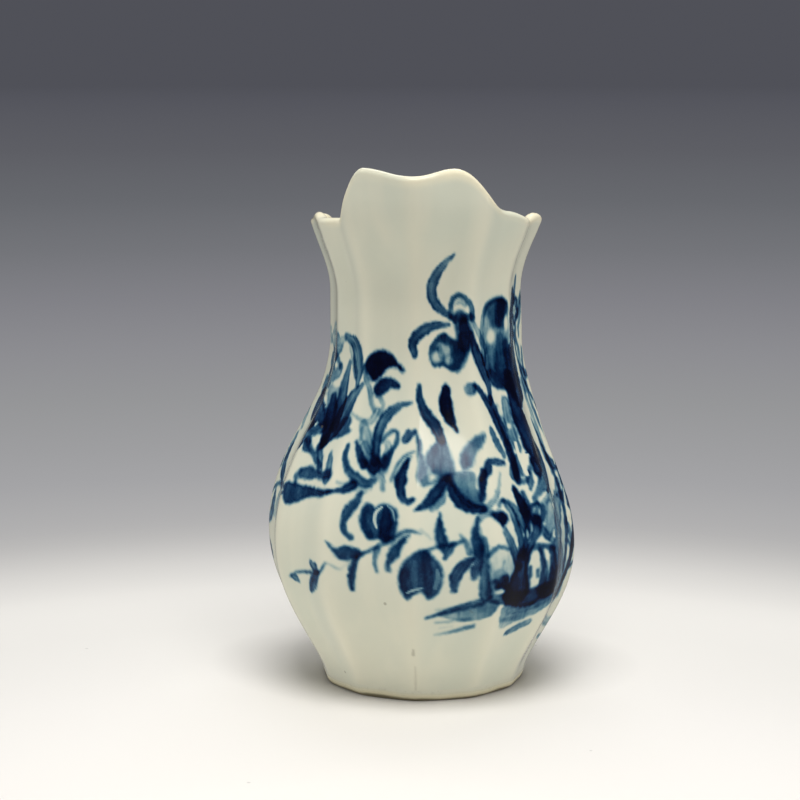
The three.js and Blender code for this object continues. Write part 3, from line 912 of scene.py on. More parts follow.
class Brush:
    """Cobalt laid on one page of a skin: its density and its tone at every spot."""

    def __init__(self, spots, open_to_it, ink, tone, lens=None):
        self.spots, self.open, self.ink, self.tone, self.lens = spots, open_to_it, ink, tone, lens
        self.count = 0

    def band(self, points, widths, more=0.0):
        """The smooth line of a stroke, and half its width at every point, on this page."""
        line = curve_through(points)
        half = np.interp(fractions(line), np.linspace(0, 1, len(widths)), widths) / 2 + more
        return self.lens.band(line, half) if self.lens else (line, half)

    def near(self, line, margin):
        """Which spots lie about a line. It also counts the strokes, which seeds their clouds."""
        low, high = line.min(0) - margin, line.max(0) + margin
        inside = (self.spots > low).all(1) & (self.spots < high).all(1) & (self.open > 0)
        self.count += 1
        return np.flatnonzero(inside)

    def lay(self, chosen, cover, tone):
        """Adds colour over what is there."""
        cover = np.clip(cover, 0, 1) ** BLEED * self.open[chosen]
        self.tone[chosen] = mix(self.tone[chosen], tone, cover)
        self.ink[chosen] = 1 - (1 - self.ink[chosen]) * (1 - cover)

    def stroke(self, points, widths, load=0.85, end_load=None, tone=0.5, soft=2.5, pool=0.35):
        """One stroke through points, of widths spread evenly along it, whose load may run dry."""
        line, half = self.band(points, widths, 0.5)
        chosen = self.near(line, half.max() + 2 * soft)
        if not len(chosen):
            return
        distance, side, along, run = beside(line, self.spots[chosen])
        width = np.interp(along, fractions(line), half)
        lateral = side * distance / np.maximum(width, 0.4)
        bays = RAGGED * clouds(self.spots[chosen], RAG_SIZE, self.count)
        ragged = distance + bays * np.clip(width / 3, 0.3, 1)
        cover = 1 - smooth_step(width - soft, width + soft, ragged)
        fringe = 1 - smooth_step(width - 1, width + FRINGE_REACH, ragged)
        cover = np.maximum(cover, FRINGE * fringe)
        cover *= np.clip(width / (0.7 * soft), 0, 1)
        laid_out = np.stack([side * distance, along * run], -1)
        hairs = clouds(laid_out, STROKE_HAIRS, self.count + HAIR_SEED)
        patches = clouds(self.spots[chosen], STROKE_CLOUDS, self.count + CLOUD_SEED)
        edge = smooth_step(0.35, 0.9, np.abs(lateral))
        full = mix(load, load if end_load is None else end_load, along)
        uneven = (0.2 * hairs + 0.16 * patches) * (MARKS - MARKS_LOST * full)
        wet = thinned(full, 1 + uneven - pool * (1 - edge) * smooth_step(1.6, 3.5, width))
        self.lay(chosen, cover * wet, tone)

    def leaf(self, base, tip, width, bend, load, end_load, tone):
        """A stroke pressed down and lifted again, bent to one side by a share of its length."""
        base, tip = np.asarray(base, float), np.asarray(tip, float)
        way = tip - base
        middle = (base + tip) / 2 + bend * np.array([way[1], -way[0]])
        t = np.linspace(0, 1, 9)
        rise = np.sin(np.pi / 2 * t / LEAF_BELLY)
        fall = np.cos(np.pi / 2 * (t - LEAF_BELLY) / (1 - LEAF_BELLY))
        swell = np.maximum(np.where(t < LEAF_BELLY, rise, fall), 0.1)
        self.stroke([base, middle, tip], width * swell, load, end_load, tone)

    def shape(self, outline, load=0.8, far_load=None, towards=(1, 0), tone=0.5, soft=3.0, rim=0.12):
        """A filled form with colour pooled at its rim, whose load changes towards one side."""
        line = curve_through(outline, closed=True)
        line = np.concatenate([line, line[:1]])
        line = self.lens.carry(line) if self.lens else line
        chosen = self.near(line, 3 * soft)
        if not len(chosen):
            return
        spots = self.spots[chosen]
        distance, _, _, _ = beside(line, spots)
        a, b = line[:-1], line[1:]
        above = (a[:, 1] > spots[:, 1:2]) != (b[:, 1] > spots[:, 1:2])
        slope = np.where(a[:, 1] == b[:, 1], 1, b[:, 1] - a[:, 1])
        cross = a[:, 0] + (spots[:, 1:2] - a[:, 1]) * (b[:, 0] - a[:, 0]) / slope
        inside = (above & (spots[:, 0:1] < cross)).sum(1) % 2 == 1
        depth = np.where(inside, distance, -distance)
        depth += RAGGED * clouds(spots, RAG_SIZE, self.count)
        cover = smooth_step(-soft - 0.3, soft - 0.3, depth)
        cover = np.maximum(cover, FRINGE * smooth_step(-FRINGE_REACH, 1, depth))
        way = np.asarray(towards, float) / np.linalg.norm(towards)
        across = spots @ way
        reach = line @ way
        t = np.clip((across - reach.min()) / (reach.max() - reach.min()), 0, 1)
        fill = mix(load, load if far_load is None else far_load, t)
        pooled = rim * (1 - smooth_step(0.5, 3.5, depth))
        hairs = clouds(spots, WASH_HAIRS, self.count + HAIR_SEED)
        patches = clouds(spots, WASH_CLOUDS, self.count + CLOUD_SEED)
        uneven = (0.18 * hairs + 0.22 * patches) * (MARKS - MARKS_LOST * fill)
        self.lay(chosen, cover * thinned(fill, 0.9 + 2.2 * pooled + uneven), tone)

    def disc(self, centre, across, down, **how):
        """A filled oval."""
        turn = np.radians(np.arange(0, 360, 45))
        centre = np.asarray(centre, float)
        outline = centre + np.stack([across / 2 * np.cos(turn), down / 2 * np.sin(turn)], -1)
        self.shape(outline, **how)

    def lift(self, centre, across, down, share=0.8, soft=0.5):
        """Leaves a place bare again, as a wiped or reserved spot."""
        ends = np.asarray(centre, float) + np.array([(0, 0), (across, 0), (0, down)]) / 2
        middle, right, low = self.lens.carry(ends) if self.lens else ends
        off = (self.spots - middle) / np.maximum((right[0] - middle[0], low[1] - middle[1]), 0.5)
        away = np.sqrt((off**2).sum(1))
        kept = 1 - share * (1 - smooth_step(1 - soft, 1 + soft, away)) * (self.open > 0)
        self.ink *= kept

    def wipe(self, points, widths, share):
        """Draws the colour off again along a line."""
        line, half = self.band(points, widths)
        chosen = self.near(line, half.max() + 2)
        if not len(chosen):
            return
        distance, _, along, _ = beside(line, self.spots[chosen])
        width = np.interp(along, fractions(line), half)
        self.ink[chosen] *= 1 - share * (1 - smooth_step(width - 0.8, width + 0.8, distance))


def side(*places):
    """Places given in degrees round the jug and millimetres up it, on the wrapped page."""
    return [(degrees * UNITS_PER_DEGREE, -mm * PX_PER_MM) for degrees, mm in places]


# Strokes are (line, widths, load, load at the end, tone), and for some also the softness of the
# edge and how much colour pools at the sides. Tone runs from 0, teal, to 1, navy. What is wiped is
# (line, widths, share), and what is lifted (centre, width, height, share). The front's places are
# set down in the photograph's frame, in its pixels.
TOP_CURL = [
    ([(454, 255), (443.5, 265), (434.5, 279), (431.5, 292), (437, 306), (450, 316)],
     [1.5, 6, 9, 9.5, 8, 5], 0.86, 0.9, 0.7, 2.5, 0.4),
    ([(449, 324.5), (434, 326), (422, 331.5), (415, 338), (412.5, 345), (414.5, 354)],
     [3, 6.5, 10, 10, 8, 6], 0.88, 0.95, 0.75, 2.5, 0.4),
]
BUD = [
    ([(451, 316), (450.8, 306), (453.3, 298.5), (458.5, 295), (466, 299), (471, 306),
      (472.5, 318)],
     [4, 3.5, 4, 4, 4, 4, 4], 0.82, 0.85, 0.2),
    ([(455, 302), (459, 298.5), (465, 304)], [5, 8, 5], 0.55, 0.5, 0.0),
    ([(452.5, 318), (457, 319.5), (464, 318), (472, 316)], [5, 7, 7, 5], 0.85, 0.92, 0.6),
    ([(460, 320), (464, 332), (465.5, 344)], [14, 17, 13], 0.86, 0.7, 0.4, 4),
    ([(464, 342), (462, 357), (458, 369)], [14, 12, 5], 0.75, 0.72, 0.15, 3.5),
    ([(463, 323), (465, 335), (465, 346)], [8, 12, 8], 0.9, 0.85, 1.0),
    ([(472, 320), (476, 328), (480, 336), (483, 349), (484, 362)], [3, 3, 3, 3, 3], 0.7, 0.75, 0.1),
    ([(472, 334), (474.5, 348), (479, 360), (484, 373), (488.5, 385), (490.5, 402)],
     [3, 7, 8, 6, 4, 3], 0.97, 0.9, 0.95),
]
ROUND_FLOWER = [
    (429, 355), (430, 346), (435, 339), (440, 334.5), (446, 334), (452, 338), (459, 341),
    (466, 352), (462, 364), (457, 371), (450, 370), (443, 366.5), (434, 367), (430, 361),
]
FLOWER_HOLLOWS = [
    ((437, 357), 10, 11, 0.75),
    ((446, 350), 11, 12, 0.6),
    ((449, 360.5), 8, 8, 0.6),
    ((440, 345.5), 6, 6, 0.4),
]
FLOWER_SMUDGES = [
    ([(440, 349), (441.5, 355)], [4, 5], 0.45, 0.4, 0.1),
    ([(444, 337), (447, 342)], [6, 5], 0.75, 0.6, 0.3),
    ([(452, 344), (454, 356), (452, 367)], [5, 6, 6], 0.6, 0.55, 0.3),
]
STEMS = [
    ([(475, 385), (482, 394), (489, 406), (498, 425), (508, 448), (516, 475)],
     [3, 4.5, 5, 5, 6, 5], 0.93, 0.95, 0.85),
    ([(490.5, 398), (496, 412), (504, 432), (513, 458), (518, 480)],
     [3, 4, 5, 5, 5], 0.92, 0.92, 0.7),
    ([(491, 430), (497, 443), (504, 455)], [3, 5, 3], 0.85, 0.8, 0.4),
]
STEM_BUD = [(464, 388), (467, 383.5), (472, 383.5), (476, 387), (476, 393), (471, 396), (466, 394)]
TALL_LEAF = [
    ([(486, 351), (482, 338), (482.5, 320), (486, 307), (492, 301.5), (500, 299.5), (506, 303)],
     [2.5, 2.5, 2.5, 2.5, 3, 3, 3], 0.7, 0.8, 0.1),
    ([(500, 338), (500, 351), (501, 365)], [6, 10, 13], 0.6, 0.78, 0.15, 4),
    ([(505, 343), (508, 357), (511, 372), (514, 388)], [4, 7, 9, 11], 0.82, 0.94, 0.8, 3.5),
    ([(490, 374), (497, 381), (507, 384)], [6, 11, 11], 0.82, 0.95, 0.7, 3.5),
    ([(488, 344), (487, 358), (489, 372)], [2.5, 4, 5], 0.5, 0.65, 0.15, 3.5),
]
TALL_LEAF_BODY = [
    (486, 345), (494, 333), (505, 334), (509.5, 350), (514, 372), (516, 387), (505, 389),
    (492, 383), (488, 368),
]
TALL_LEAF_CORE = ([(500.5, 304), (500, 312), (498, 321)], [7, 9, 6], 0.94, 0.8, 0.7, 4)
TALL_LEAF_HEAD = [
    (486.5, 305), (493, 298), (504, 298), (508, 305), (506.5, 317), (504, 328), (493, 329),
    (487.5, 319),
]
TALL_LEAF_WASH = [
    (483.5, 312), (488, 303), (497, 299), (507, 302), (508.5, 320), (510.5, 345), (513, 370),
    (516, 388), (500, 388), (488, 376), (484, 352),
]
RIGHT_BAND = [
    ([(508, 376), (512, 395), (517, 414), (524, 433), (531, 450), (536.5, 469)],
     [7, 9, 11, 11, 11, 7], 0.98, 0.93, 0.9),
    ([(505, 402), (508, 420), (513, 436), (518, 448)], [7, 8, 9, 6], 0.7, 0.78, 0.2),
    ([(515.4, 278), (513.3, 297), (510.8, 311), (510.8, 327), (512.3, 348), (513.8, 358),
      (517, 375), (521, 392)],
     [0.6, 1.1, 1.6, 1.8, 1.8, 1.8, 2.2, 2], 0.9, 0.92, 0.9),
    ([(521, 288.5), (519, 299), (517.5, 309), (516.5, 318)], [0.4, 0.9, 1.0, 0.6], 0.8, 0.85, 0.6),
    ([(520.3, 297), (519.3, 316), (518, 327), (518.6, 336)], [0.6, 1.1, 0.9, 0.4], 0.85, 0.7, 0.6),
    ([(515.4, 327), (515.2, 337), (518, 348), (519.5, 360), (521, 372), (525, 390)],
     [0.6, 0.9, 1.1, 1.1, 1.3, 1.2], 0.8, 0.8, 0.6),
    ([(521.3, 348), (522.4, 362), (524.3, 374), (527, 388), (531, 402), (539, 422), (545, 434.5),
      (553.5, 457), (561, 480)],
     [0.4, 0.8, 1.2, 1.2, 1.3, 1.4, 1.2, 1.2, 1], 0.8, 0.85, 0.7),
    ([(521, 380), (527, 400), (535, 422), (543, 446), (552, 472)],
     [1, 1.6, 1.6, 1.6, 1.4], 0.6, 0.65, 0.6),
    ([(497, 405), (501, 417), (506, 428)], [2, 4, 3], 0.5, 0.6, 0.1),
]
RIGHT_BAND_GAPS = [
    ((490.5, 337), 8.5, 14, 0.9),
    ((506, 323), 3.5, 15, 0.9),
    ((496, 398), 11, 11, 0.65),
    ((500, 411), 5, 11, 0.65),
    ((509, 426), 4, 6),
]
LEFT_EDGE = [
    ([(330, 327), (330.5, 333), (332, 339)], [0.6, 1.2, 0.6], 0.5, 0.45, 0.3),
    ([(336, 329), (334.5, 334), (332.5, 339)], [1, 1.5, 0.8], 0.5, 0.45, 0.3),
    ([(326.5, 378), (324.5, 385), (322.5, 392)], [0.6, 2, 0.6], 0.75, 0.7, 0.6),
    ([(313, 399), (308, 411), (302, 427)], [0.6, 1.2, 0.6], 0.65, 0.55, 0.7),
    ([(297, 434), (291.5, 445), (286, 457)], [0.8, 1.8, 1], 0.75, 0.7, 0.8),
]
LOOP_LEAVES = [
    ([(340, 348), (342, 341), (346, 337.5)], [4, 4.5, 3], 0.78, 0.5, 0.4),
    ([(347, 337), (353, 342), (357, 351), (359, 364), (359, 373), (357.5, 384)],
     [5, 6, 9, 9, 7, 3], 0.8, 0.78, 0.3),
    ([(351, 347), (353.5, 360), (356, 374)], [2.5, 3, 3], 0.5, 0.6, 0.5),
    ([(332.5, 364), (332.8, 358), (335, 353.5), (338, 358), (340.5, 367)],
     [1.2, 1.5, 1.5, 2, 2.5], 0.75, 0.75, 0.5),
    ([(340.5, 367), (338, 373), (334, 377)], [4, 6, 3], 0.72, 0.66, 0.6),
    ([(318, 403), (321.5, 411), (322, 423)], [4, 8, 5], 0.88, 0.93, 0.95),
    ([(323, 427), (316, 430), (309.5, 433), (309.5, 445), (315, 458), (320, 466)],
     [8, 7, 5, 3.5, 4, 4], 0.88, 0.85, 0.5),
    ([(307, 441), (307, 447), (310, 451)], [5, 8, 3], 0.85, 0.8, 0.6),
    ([(319, 448), (320, 458), (319.5, 470)], [6, 5, 4], 0.9, 0.75, 0.6),
    ([(330.5, 455), (329, 466), (326, 478)], [3, 6, 6], 0.72, 0.8, 0.3),
]
DARK_LEAF = [
    (320, 448), (323, 433), (325.5, 418), (327, 402), (328, 390), (332, 384), (336, 388),
    (341, 388), (341.5, 400), (340, 412), (335, 424), (330, 436), (325, 446),
]
DARK_LEAF_HEART = (
    [(334, 396), (332, 408), (329, 422), (325, 436), (321, 446)],
    [4, 9, 9, 7, 4], 0.9, 0.9, 1.0,
)
SPEAR_LEAVES = [
    ([(335, 424), (341, 402), (345, 383), (350, 363)], [7, 9, 7, 2], 0.95, 0.75, 0.7),
    ([(325, 441), (336, 427), (347, 408), (355, 395), (362.5, 385)],
     [6, 9, 11, 8, 2.5], 0.95, 0.78, 0.6),
]
LOWER_LOBE = [
    (332, 436), (338, 425), (344, 417.5), (350, 416.5), (351.5, 422), (349, 427), (351, 431),
    (343, 436), (335, 438.5),
]
DARK_FLOWER = [
    (366, 361), (372, 353.5), (382, 349.5), (391, 353.5), (397, 361), (402, 366), (405, 371),
    (401, 372), (396, 368), (390, 368), (384, 373), (380, 378), (373, 381), (368, 375), (365, 368),
]
DARK_PETAL = [
    (374, 388), (379, 380.5), (387, 377.5), (395, 379.5), (400.5, 385.5), (398.5, 389),
    (392, 388.5), (387, 391.5), (383, 394.5), (377, 396.5), (374, 393),
]
FLOWER_STALK = [
    ([(365, 368), (366, 378), (370, 390), (372, 404), (374, 411)],
     [4, 4, 4, 4, 3], 0.75, 0.65, 0.1),
    ([(380, 397), (383, 406), (379, 414)], [3, 4, 3], 0.55, 0.5, 0.0),
    ([(377, 411), (372, 420), (365, 422), (358, 418), (351.5, 413)],
     [5, 6, 5, 3, 2], 0.6, 0.45, 0.0),
    ([(363, 424), (366, 436), (371, 450)], [7, 12, 8], 0.52, 0.6, 0.0),
    ([(362, 428), (360, 440)], [2, 2], 0.5, 0.5, 0.2),
]
SPRAY = [
    ([(375, 462), (376, 447), (378.5, 433), (384, 420), (392, 411), (401, 405.5), (412, 403)],
     [8, 8, 9, 10, 9, 6, 2], 0.95, 0.8, 0.45),
    ([(382, 441), (387, 435), (395, 430.5), (398, 437), (394, 447), (387, 458)],
     [3, 3.5, 3, 4, 4, 7], 0.72, 0.85, 0.2),
    ([(385, 440), (389, 447), (391, 452)], [4, 5, 4], 0.35, 0.4, 0.1),
    ([(356.5, 442), (359, 452), (364, 464)], [3, 6, 9], 0.88, 0.96, 0.6),
    ([(348, 446), (345, 457), (348, 470), (356, 478), (366, 483), (374, 481)],
     [3, 4.5, 6, 10, 10, 6], 0.88, 0.85, 0.4),
]
SPRAY_FILL = [
    ([(364, 446), (368, 456), (374, 466)], [9, 14, 16], 0.45, 0.95, 0.4),
    ([(388, 444), (388, 453), (385, 463)], [5, 8, 9], 0.3, 0.9, 0.3),
]
SPRAY_HEART = [
    (360, 458), (368, 463), (375, 455), (382, 456), (390, 454), (389, 465), (385, 474), (374, 472),
    (364, 467),
]
NARROW_LEAVES = [
    ([(419, 386.5), (420, 400), (426, 414), (435, 426), (442, 440)],
     [4, 7, 10, 11, 8], 0.93, 0.96, 0.45),
    ([(446, 390), (445.5, 402), (448, 414), (453, 424), (457, 431)],
     [8, 13, 13, 8, 2], 0.995, 0.995, 1.0),
    ([(405, 440), (409, 435), (415, 432)], [6, 9, 4], 0.9, 0.85, 1.0),
    ([(414, 451.5), (405, 456), (397, 466), (391, 481)], [2, 3, 3, 2.5], 0.7, 0.6, 0.1),
    ([(411, 457), (403, 466), (398, 479)], [2, 2.5, 2], 0.5, 0.5, 0.1),
    ([(408, 460), (403, 471), (400, 485), (402, 497), (407, 501.5), (413, 500)],
     [3, 8, 12.5, 9, 7, 4], 0.97, 0.94, 0.85),
]
SHADED_LEAVES = [
    [
        (427, 452), (433, 445), (441, 440), (448, 446), (452, 457), (455, 472), (449, 479),
        (438, 477), (430, 472), (426, 462),
    ],
    [
        (460, 457), (465, 447), (473, 438), (483, 433), (486, 437), (482, 447), (476, 455),
        (473, 466), (463, 470),
    ],
    [
        (416, 436), (421, 440), (422, 452), (428, 470), (429, 481), (423, 485), (417, 478),
        (418, 460),
    ],
]
UNDER_SHINE = [
    ([(448, 477), (453, 491), (462, 503), (474, 508.5), (484, 509)],
     [6, 10, 13, 11, 7], 0.97, 0.94, 0.6),
    ([(447, 478), (436, 493), (425, 505), (414.5, 510.5)], [5, 12, 10, 2], 0.97, 0.92, 0.7),
    ([(445, 488), (441, 500), (432, 509)], [4, 8, 5], 0.7, 0.65, 0.1),
    ([(424, 486), (434, 482), (443, 478)], [2, 4, 4], 0.6, 0.75, 0.1),
    ([(484, 472), (482.5, 484), (482, 499)], [7, 8, 6], 0.97, 0.95, 0.95),
    ([(481, 480), (487, 471), (491, 462), (504, 463)], [4, 9, 7, 4], 0.92, 0.92, 0.9),
    ([(484, 509), (492, 503), (498, 491), (500, 474)], [6, 5, 3, 2], 0.75, 0.4, 0.1),
]
SHINE_WASH = [
    (449, 477), (457, 472), (474, 473), (476, 486), (480, 497), (485, 508), (472, 508), (461, 502),
    (453, 491),
]
RIGHT_LOOPS = [
    ([(513, 463), (512, 474), (519, 481), (526, 480), (529, 472), (533, 460)],
     [4, 4, 5, 5, 4, 4], 0.8, 0.8, 0.5),
    ([(518, 458), (519, 467), (522, 474)], [5, 6, 3], 0.85, 0.8, 0.4),
    ([(538, 458), (542, 472), (541, 486), (534, 499)], [7, 8, 8, 4], 0.86, 0.8, 0.4),
    ([(530, 474), (530, 482), (530.5, 488)], [4, 7, 3], 0.85, 0.8, 0.7),
    ([(550, 494), (544, 503)], [4, 5], 0.65, 0.6, 0.2),
    ([(514, 489), (520, 500), (528, 517)], [4, 9, 7], 0.92, 0.95, 0.7),
    ([(523, 493), (526, 502), (528, 516)], [3, 6, 5], 0.88, 0.9, 0.6),
    ([(499, 505), (502, 501), (508, 502), (516, 510), (527, 530)], [4, 3, 5, 9, 6], 0.7, 0.9, 0.3),
]
LEFT_LONG_LEAF = [
    (286, 482), (283, 490), (283.5, 500), (288, 504), (297, 502), (308, 497), (319, 497),
    (327, 494), (332, 490), (321, 489.5), (311, 486.5), (300, 484.5), (291, 481.5),
]
LEFT_UPPER_LEAF = [
    (298, 477), (301, 470), (307, 466.5), (313, 466.5), (318, 470), (323, 471), (328, 468.5),
    (331.5, 470), (331, 477), (325, 480), (315, 478.5), (306, 479.5),
]
LEFT_TWIGS = [
    ([(295.5, 483), (296.5, 475), (301, 470)], [2.5, 3, 3], 0.75, 0.75, 0.6),
    ([(283, 484), (277.5, 500), (274, 514)], [2, 1.2, 0.6], 0.6, 0.4, 0.9),
    ([(327, 492), (336, 490.5), (345, 489), (352.5, 485)], [4, 3.5, 7, 9], 0.85, 0.95, 0.95),
    ([(354, 488), (362, 490), (369, 488)], [5, 8, 6], 0.5, 0.5, 0.0),
    ([(337, 482), (345, 484), (352, 484)], [3, 4, 3], 0.35, 0.35, 0.0),
    ([(372, 476), (381, 478), (383, 489)], [4, 6, 4], 0.55, 0.6, 0.5),
    ([(361, 494), (355, 503), (347.5, 512), (343, 523), (345, 532), (351, 538)],
     [4, 8.5, 10.5, 6, 5.5, 5], 0.9, 0.88, 0.6),
]
TWIN_FRUIT = [
    (361, 511), (366, 503.5), (372, 504.5), (375, 508), (380, 504.5), (387, 503.5), (394.5, 508),
    (398, 514), (397, 525), (395, 536), (389.5, 539.5), (378, 539), (369, 540), (363.5, 532.5),
    (359.5, 522),
]
TWIN_FRUIT_HEART = [
    ([(386, 510), (386, 521), (384, 536)], [6, 14, 12], 0.8, 0.85, 0.8),
    ([(366, 509), (364, 520), (369, 534)], [4, 5, 8], 0.5, 0.65, 0.6),
]
TWIN_FRUIT_SHINE = [
    ([(382, 507), (376, 512.5), (374.5, 520), (376.5, 528)], [2, 3.5, 3.5, 2], 0.8),
    ([(387.5, 506), (392.5, 511), (394.5, 520)], [1.5, 2.5, 1.5], 0.5),
]
LOWER_BRANCH = [
    ([(387, 540), (396, 536.5), (405, 531.5), (413, 531.5), (421, 534)],
     [4, 4, 4.5, 3.5, 2], 0.85, 0.55, 0.4),
    ([(393, 540), (380, 545.5), (376, 554), (375, 563), (376.5, 571)],
     [5, 4.5, 5, 4, 3], 0.75, 0.7, 0.3),
    ([(377, 547.5), (368, 551), (361, 554.5)], [3, 3, 4], 0.8, 0.85, 0.5),
    ([(357, 557), (353, 568), (351, 579), (352, 589)], [4, 7, 7.5, 4], 0.93, 0.95, 0.9),
    ([(327, 563), (339, 569), (346, 565), (352, 564)], [1.5, 2.5, 1.5, 2], 0.4, 0.4, 0.1),
    ([(421, 530), (426, 534), (431, 539)], [2, 2, 2], 0.4, 0.35, 0.1),
]
BRANCH_LEAF = [
    (325.5, 541), (331, 545.5), (337.5, 548), (345.5, 545.5), (356.5, 548.5), (361, 553),
    (358, 558.5), (349.5, 560.5), (339.5, 559.5), (332, 552),
]
HANGING_LEAF = [
    (409, 535), (401, 539), (392, 546.5), (387, 555), (385.5, 565), (386, 571.5), (390, 571.5),
    (391.5, 563), (398, 558), (402, 549), (406, 541),
]
SPRIG = [
    ([(289.5, 576.5), (297, 572), (308, 572), (318, 573), (325, 563.5)],
     [1.5, 2.2, 2, 2.5, 2], 0.8, 0.78, 0.4),
    ([(292, 576), (296, 578), (298, 580)], [2, 5, 2], 0.8, 0.85, 0.4),
    ([(311, 563), (314, 567), (317.5, 572)], [3, 5.5, 3], 0.88, 0.85, 0.8),
    ([(316.5, 573), (314, 581), (311, 590.5)], [4, 6.5, 2.5], 0.88, 0.9, 0.8),
]
BIG_FRUIT = [
    (419, 550.5), (410, 556.5), (402, 565), (397.8, 577), (400.5, 590), (406.5, 600), (413, 595.5),
    (421.5, 592.5), (426, 598.5), (431, 599.5), (439, 592), (443.5, 578), (440.5, 566), (433, 556),
    (425, 551),
]
BIG_FRUIT_SHINE = [
    ([(415, 562), (414, 574), (415, 586)], [4, 7, 5], 0.12),
    ([(437, 570), (438, 579), (435, 588)], [3, 6, 4], 0.25),
    ([(407, 593), (413, 590.5), (422, 588.5)], [2, 3, 1.5], 0.6),
]
BIG_FRUIT_DARK = [
    ([(426, 554), (427, 572), (429, 592)], [8, 10, 7], 0.6, 0.65, 0.9),
    ([(404, 570), (403, 582), (407, 592)], [5, 6, 4], 0.6, 0.55, 0.9),
]
RIGHT_LEAVES = [
    ([(425, 551), (437, 547), (451, 544.5), (462, 541.5)], [3, 3, 4, 4], 0.7, 0.75, 0.2),
    ([(460.5, 535), (465, 541), (469.5, 553)], [2, 4, 5], 0.65, 0.75, 0.2),
    ([(453, 545), (449, 551), (445, 558)], [5, 7, 4], 0.93, 0.85, 0.6),
    ([(474, 559), (463, 566), (455.5, 577), (454, 590)], [5, 11, 12, 6], 0.93, 0.93, 0.85),
    ([(478, 520), (485, 513.5), (492, 513)], [5, 7, 5], 0.7, 0.7, 0.2),
    ([(480, 562), (476, 569), (474, 578)], [6, 10, 6], 0.9, 0.9, 0.9),
]
ROUND_LEAF = [
    (439.8, 513), (437, 521), (434.5, 531), (436.5, 543), (443, 553), (448.5, 545), (446, 534),
    (442.5, 522),
]
TALL_DARK_LEAF = [
    (478, 517.5), (472, 530), (471, 542), (474, 557), (481, 559), (484.5, 547), (480.5, 533.5),
]
HILL = [
    (487, 556), (491, 549), (498, 545.5), (506, 545.5), (513, 549), (517, 558), (518, 580),
    (514, 602), (490, 602), (486, 580),
]
ROCK = [
    ([(484, 540), (485, 556), (485, 575), (486, 596)], [6, 9, 10, 13], 0.8, 0.88, 0.25),
    ([(488, 556), (494, 550), (501, 547), (509, 549)], [4, 4, 3.5, 3], 0.75, 0.75, 0.2),
    ([(500, 574), (502, 582), (503, 590)], [12, 14, 10], 0.4, 0.8, 0.5),
    ([(494, 582), (500, 582), (506, 578)], [5, 6, 6], 0.85, 0.9, 0.7),
    ([(505, 530), (510, 540), (515, 553), (519, 566)], [4, 6, 7, 7], 0.8, 0.93, 0.6),
    ([(503, 501), (511, 511), (517, 525), (521, 540), (523, 556)], [3, 5, 6, 6, 6], 0.8, 0.93, 0.4),
    ([(515, 491), (520, 501), (525, 513), (528, 527), (526, 542), (524, 556)],
     [3, 6, 7, 6, 5, 5], 0.93, 0.93, 0.8),
    ([(522, 553), (521, 566), (519, 578), (518, 590)], [7, 10, 16, 21], 0.95, 0.97, 1.0),
    ([(506, 580), (507, 590), (509, 600)], [4, 8, 9], 0.9, 0.95, 0.9),
    ([(507, 595), (518, 598.5), (531, 596.5), (545, 588)], [13, 15, 14, 8], 0.96, 0.95, 1.0),
    ([(545, 592), (551, 586)], [10, 8], 0.93, 0.9, 0.9),
    ([(537, 520), (537, 530), (533, 541), (528, 552)], [9, 9, 6, 5], 0.93, 0.9, 0.8),
    ([(541, 526), (547, 535), (553, 540)], [6, 7, 5], 0.8, 0.7, 0.5),
    ([(528, 560), (531, 551), (538, 546.5), (546, 546), (554, 548)],
     [3, 4, 5, 5, 5], 0.85, 0.88, 0.4),
    ([(541, 550), (543, 563), (543, 577), (541, 590)], [4, 5, 5, 7], 0.92, 0.95, 0.8),
    ([(547, 562), (547, 572), (546, 582)], [2, 2.5, 2.5], 0.7, 0.85, 0.5),
    ([(552, 548), (553.5, 562), (552.5, 576), (548, 590)], [5, 6, 7, 9], 0.88, 0.93, 0.8),
    ([(528, 556), (527, 570), (529, 584)], [2.5, 3, 4], 0.9, 0.93, 0.7),
]
DARK_BLOT = [(491, 515), (496, 511), (504, 512), (509, 519), (503, 527), (497, 521)]
LOOP_BUD = [
    ([(537, 502), (542.5, 508), (542.5, 516), (537, 522), (531.5, 516), (531.5, 508), (537, 502)],
     [3, 5, 6, 7, 6, 5, 3], 0.9, 0.93, 0.5),
    ([(537, 506), (537, 518)], [4, 4], 0.75, 0.85, 0.2),
    ([(549, 506), (550, 520), (548, 535)], [6, 9, 7], 0.55, 0.7, 0.7),
]
ROCK_GAPS = [((534.6, 570), 10.5, 32, 0.85), ((500.5, 592), 8, 5, 0.8), ((527.5, 534), 2.5, 9, 0.6)]
ROCK_SPOTS = [
    ([(530.3, 568), (530.3, 576)], [3, 3], 0.8, 0.8, 0.5),
    ([(538, 570), (538, 576)], [2.5, 2.5], 0.7, 0.7, 0.6),
    ([(504, 562), (503, 567)], [2, 2], 0.3, 0.3, 0.2),
    ([(496, 588), (501, 585.5), (507, 588)], [3, 3.5, 3], 0.85, 0.85, 0.8),
]
# A cobalt wash by the right edge that also stands in for the dim reflection along the fold there:
# partly a painted reflection
EDGE_WASH_AND_REFLECTION = [
    (556, 470), (561, 480), (565, 500), (567, 522), (567, 545), (566, 570), (562, 586), (557, 597),
    (554, 585), (556, 550), (555, 510),
]
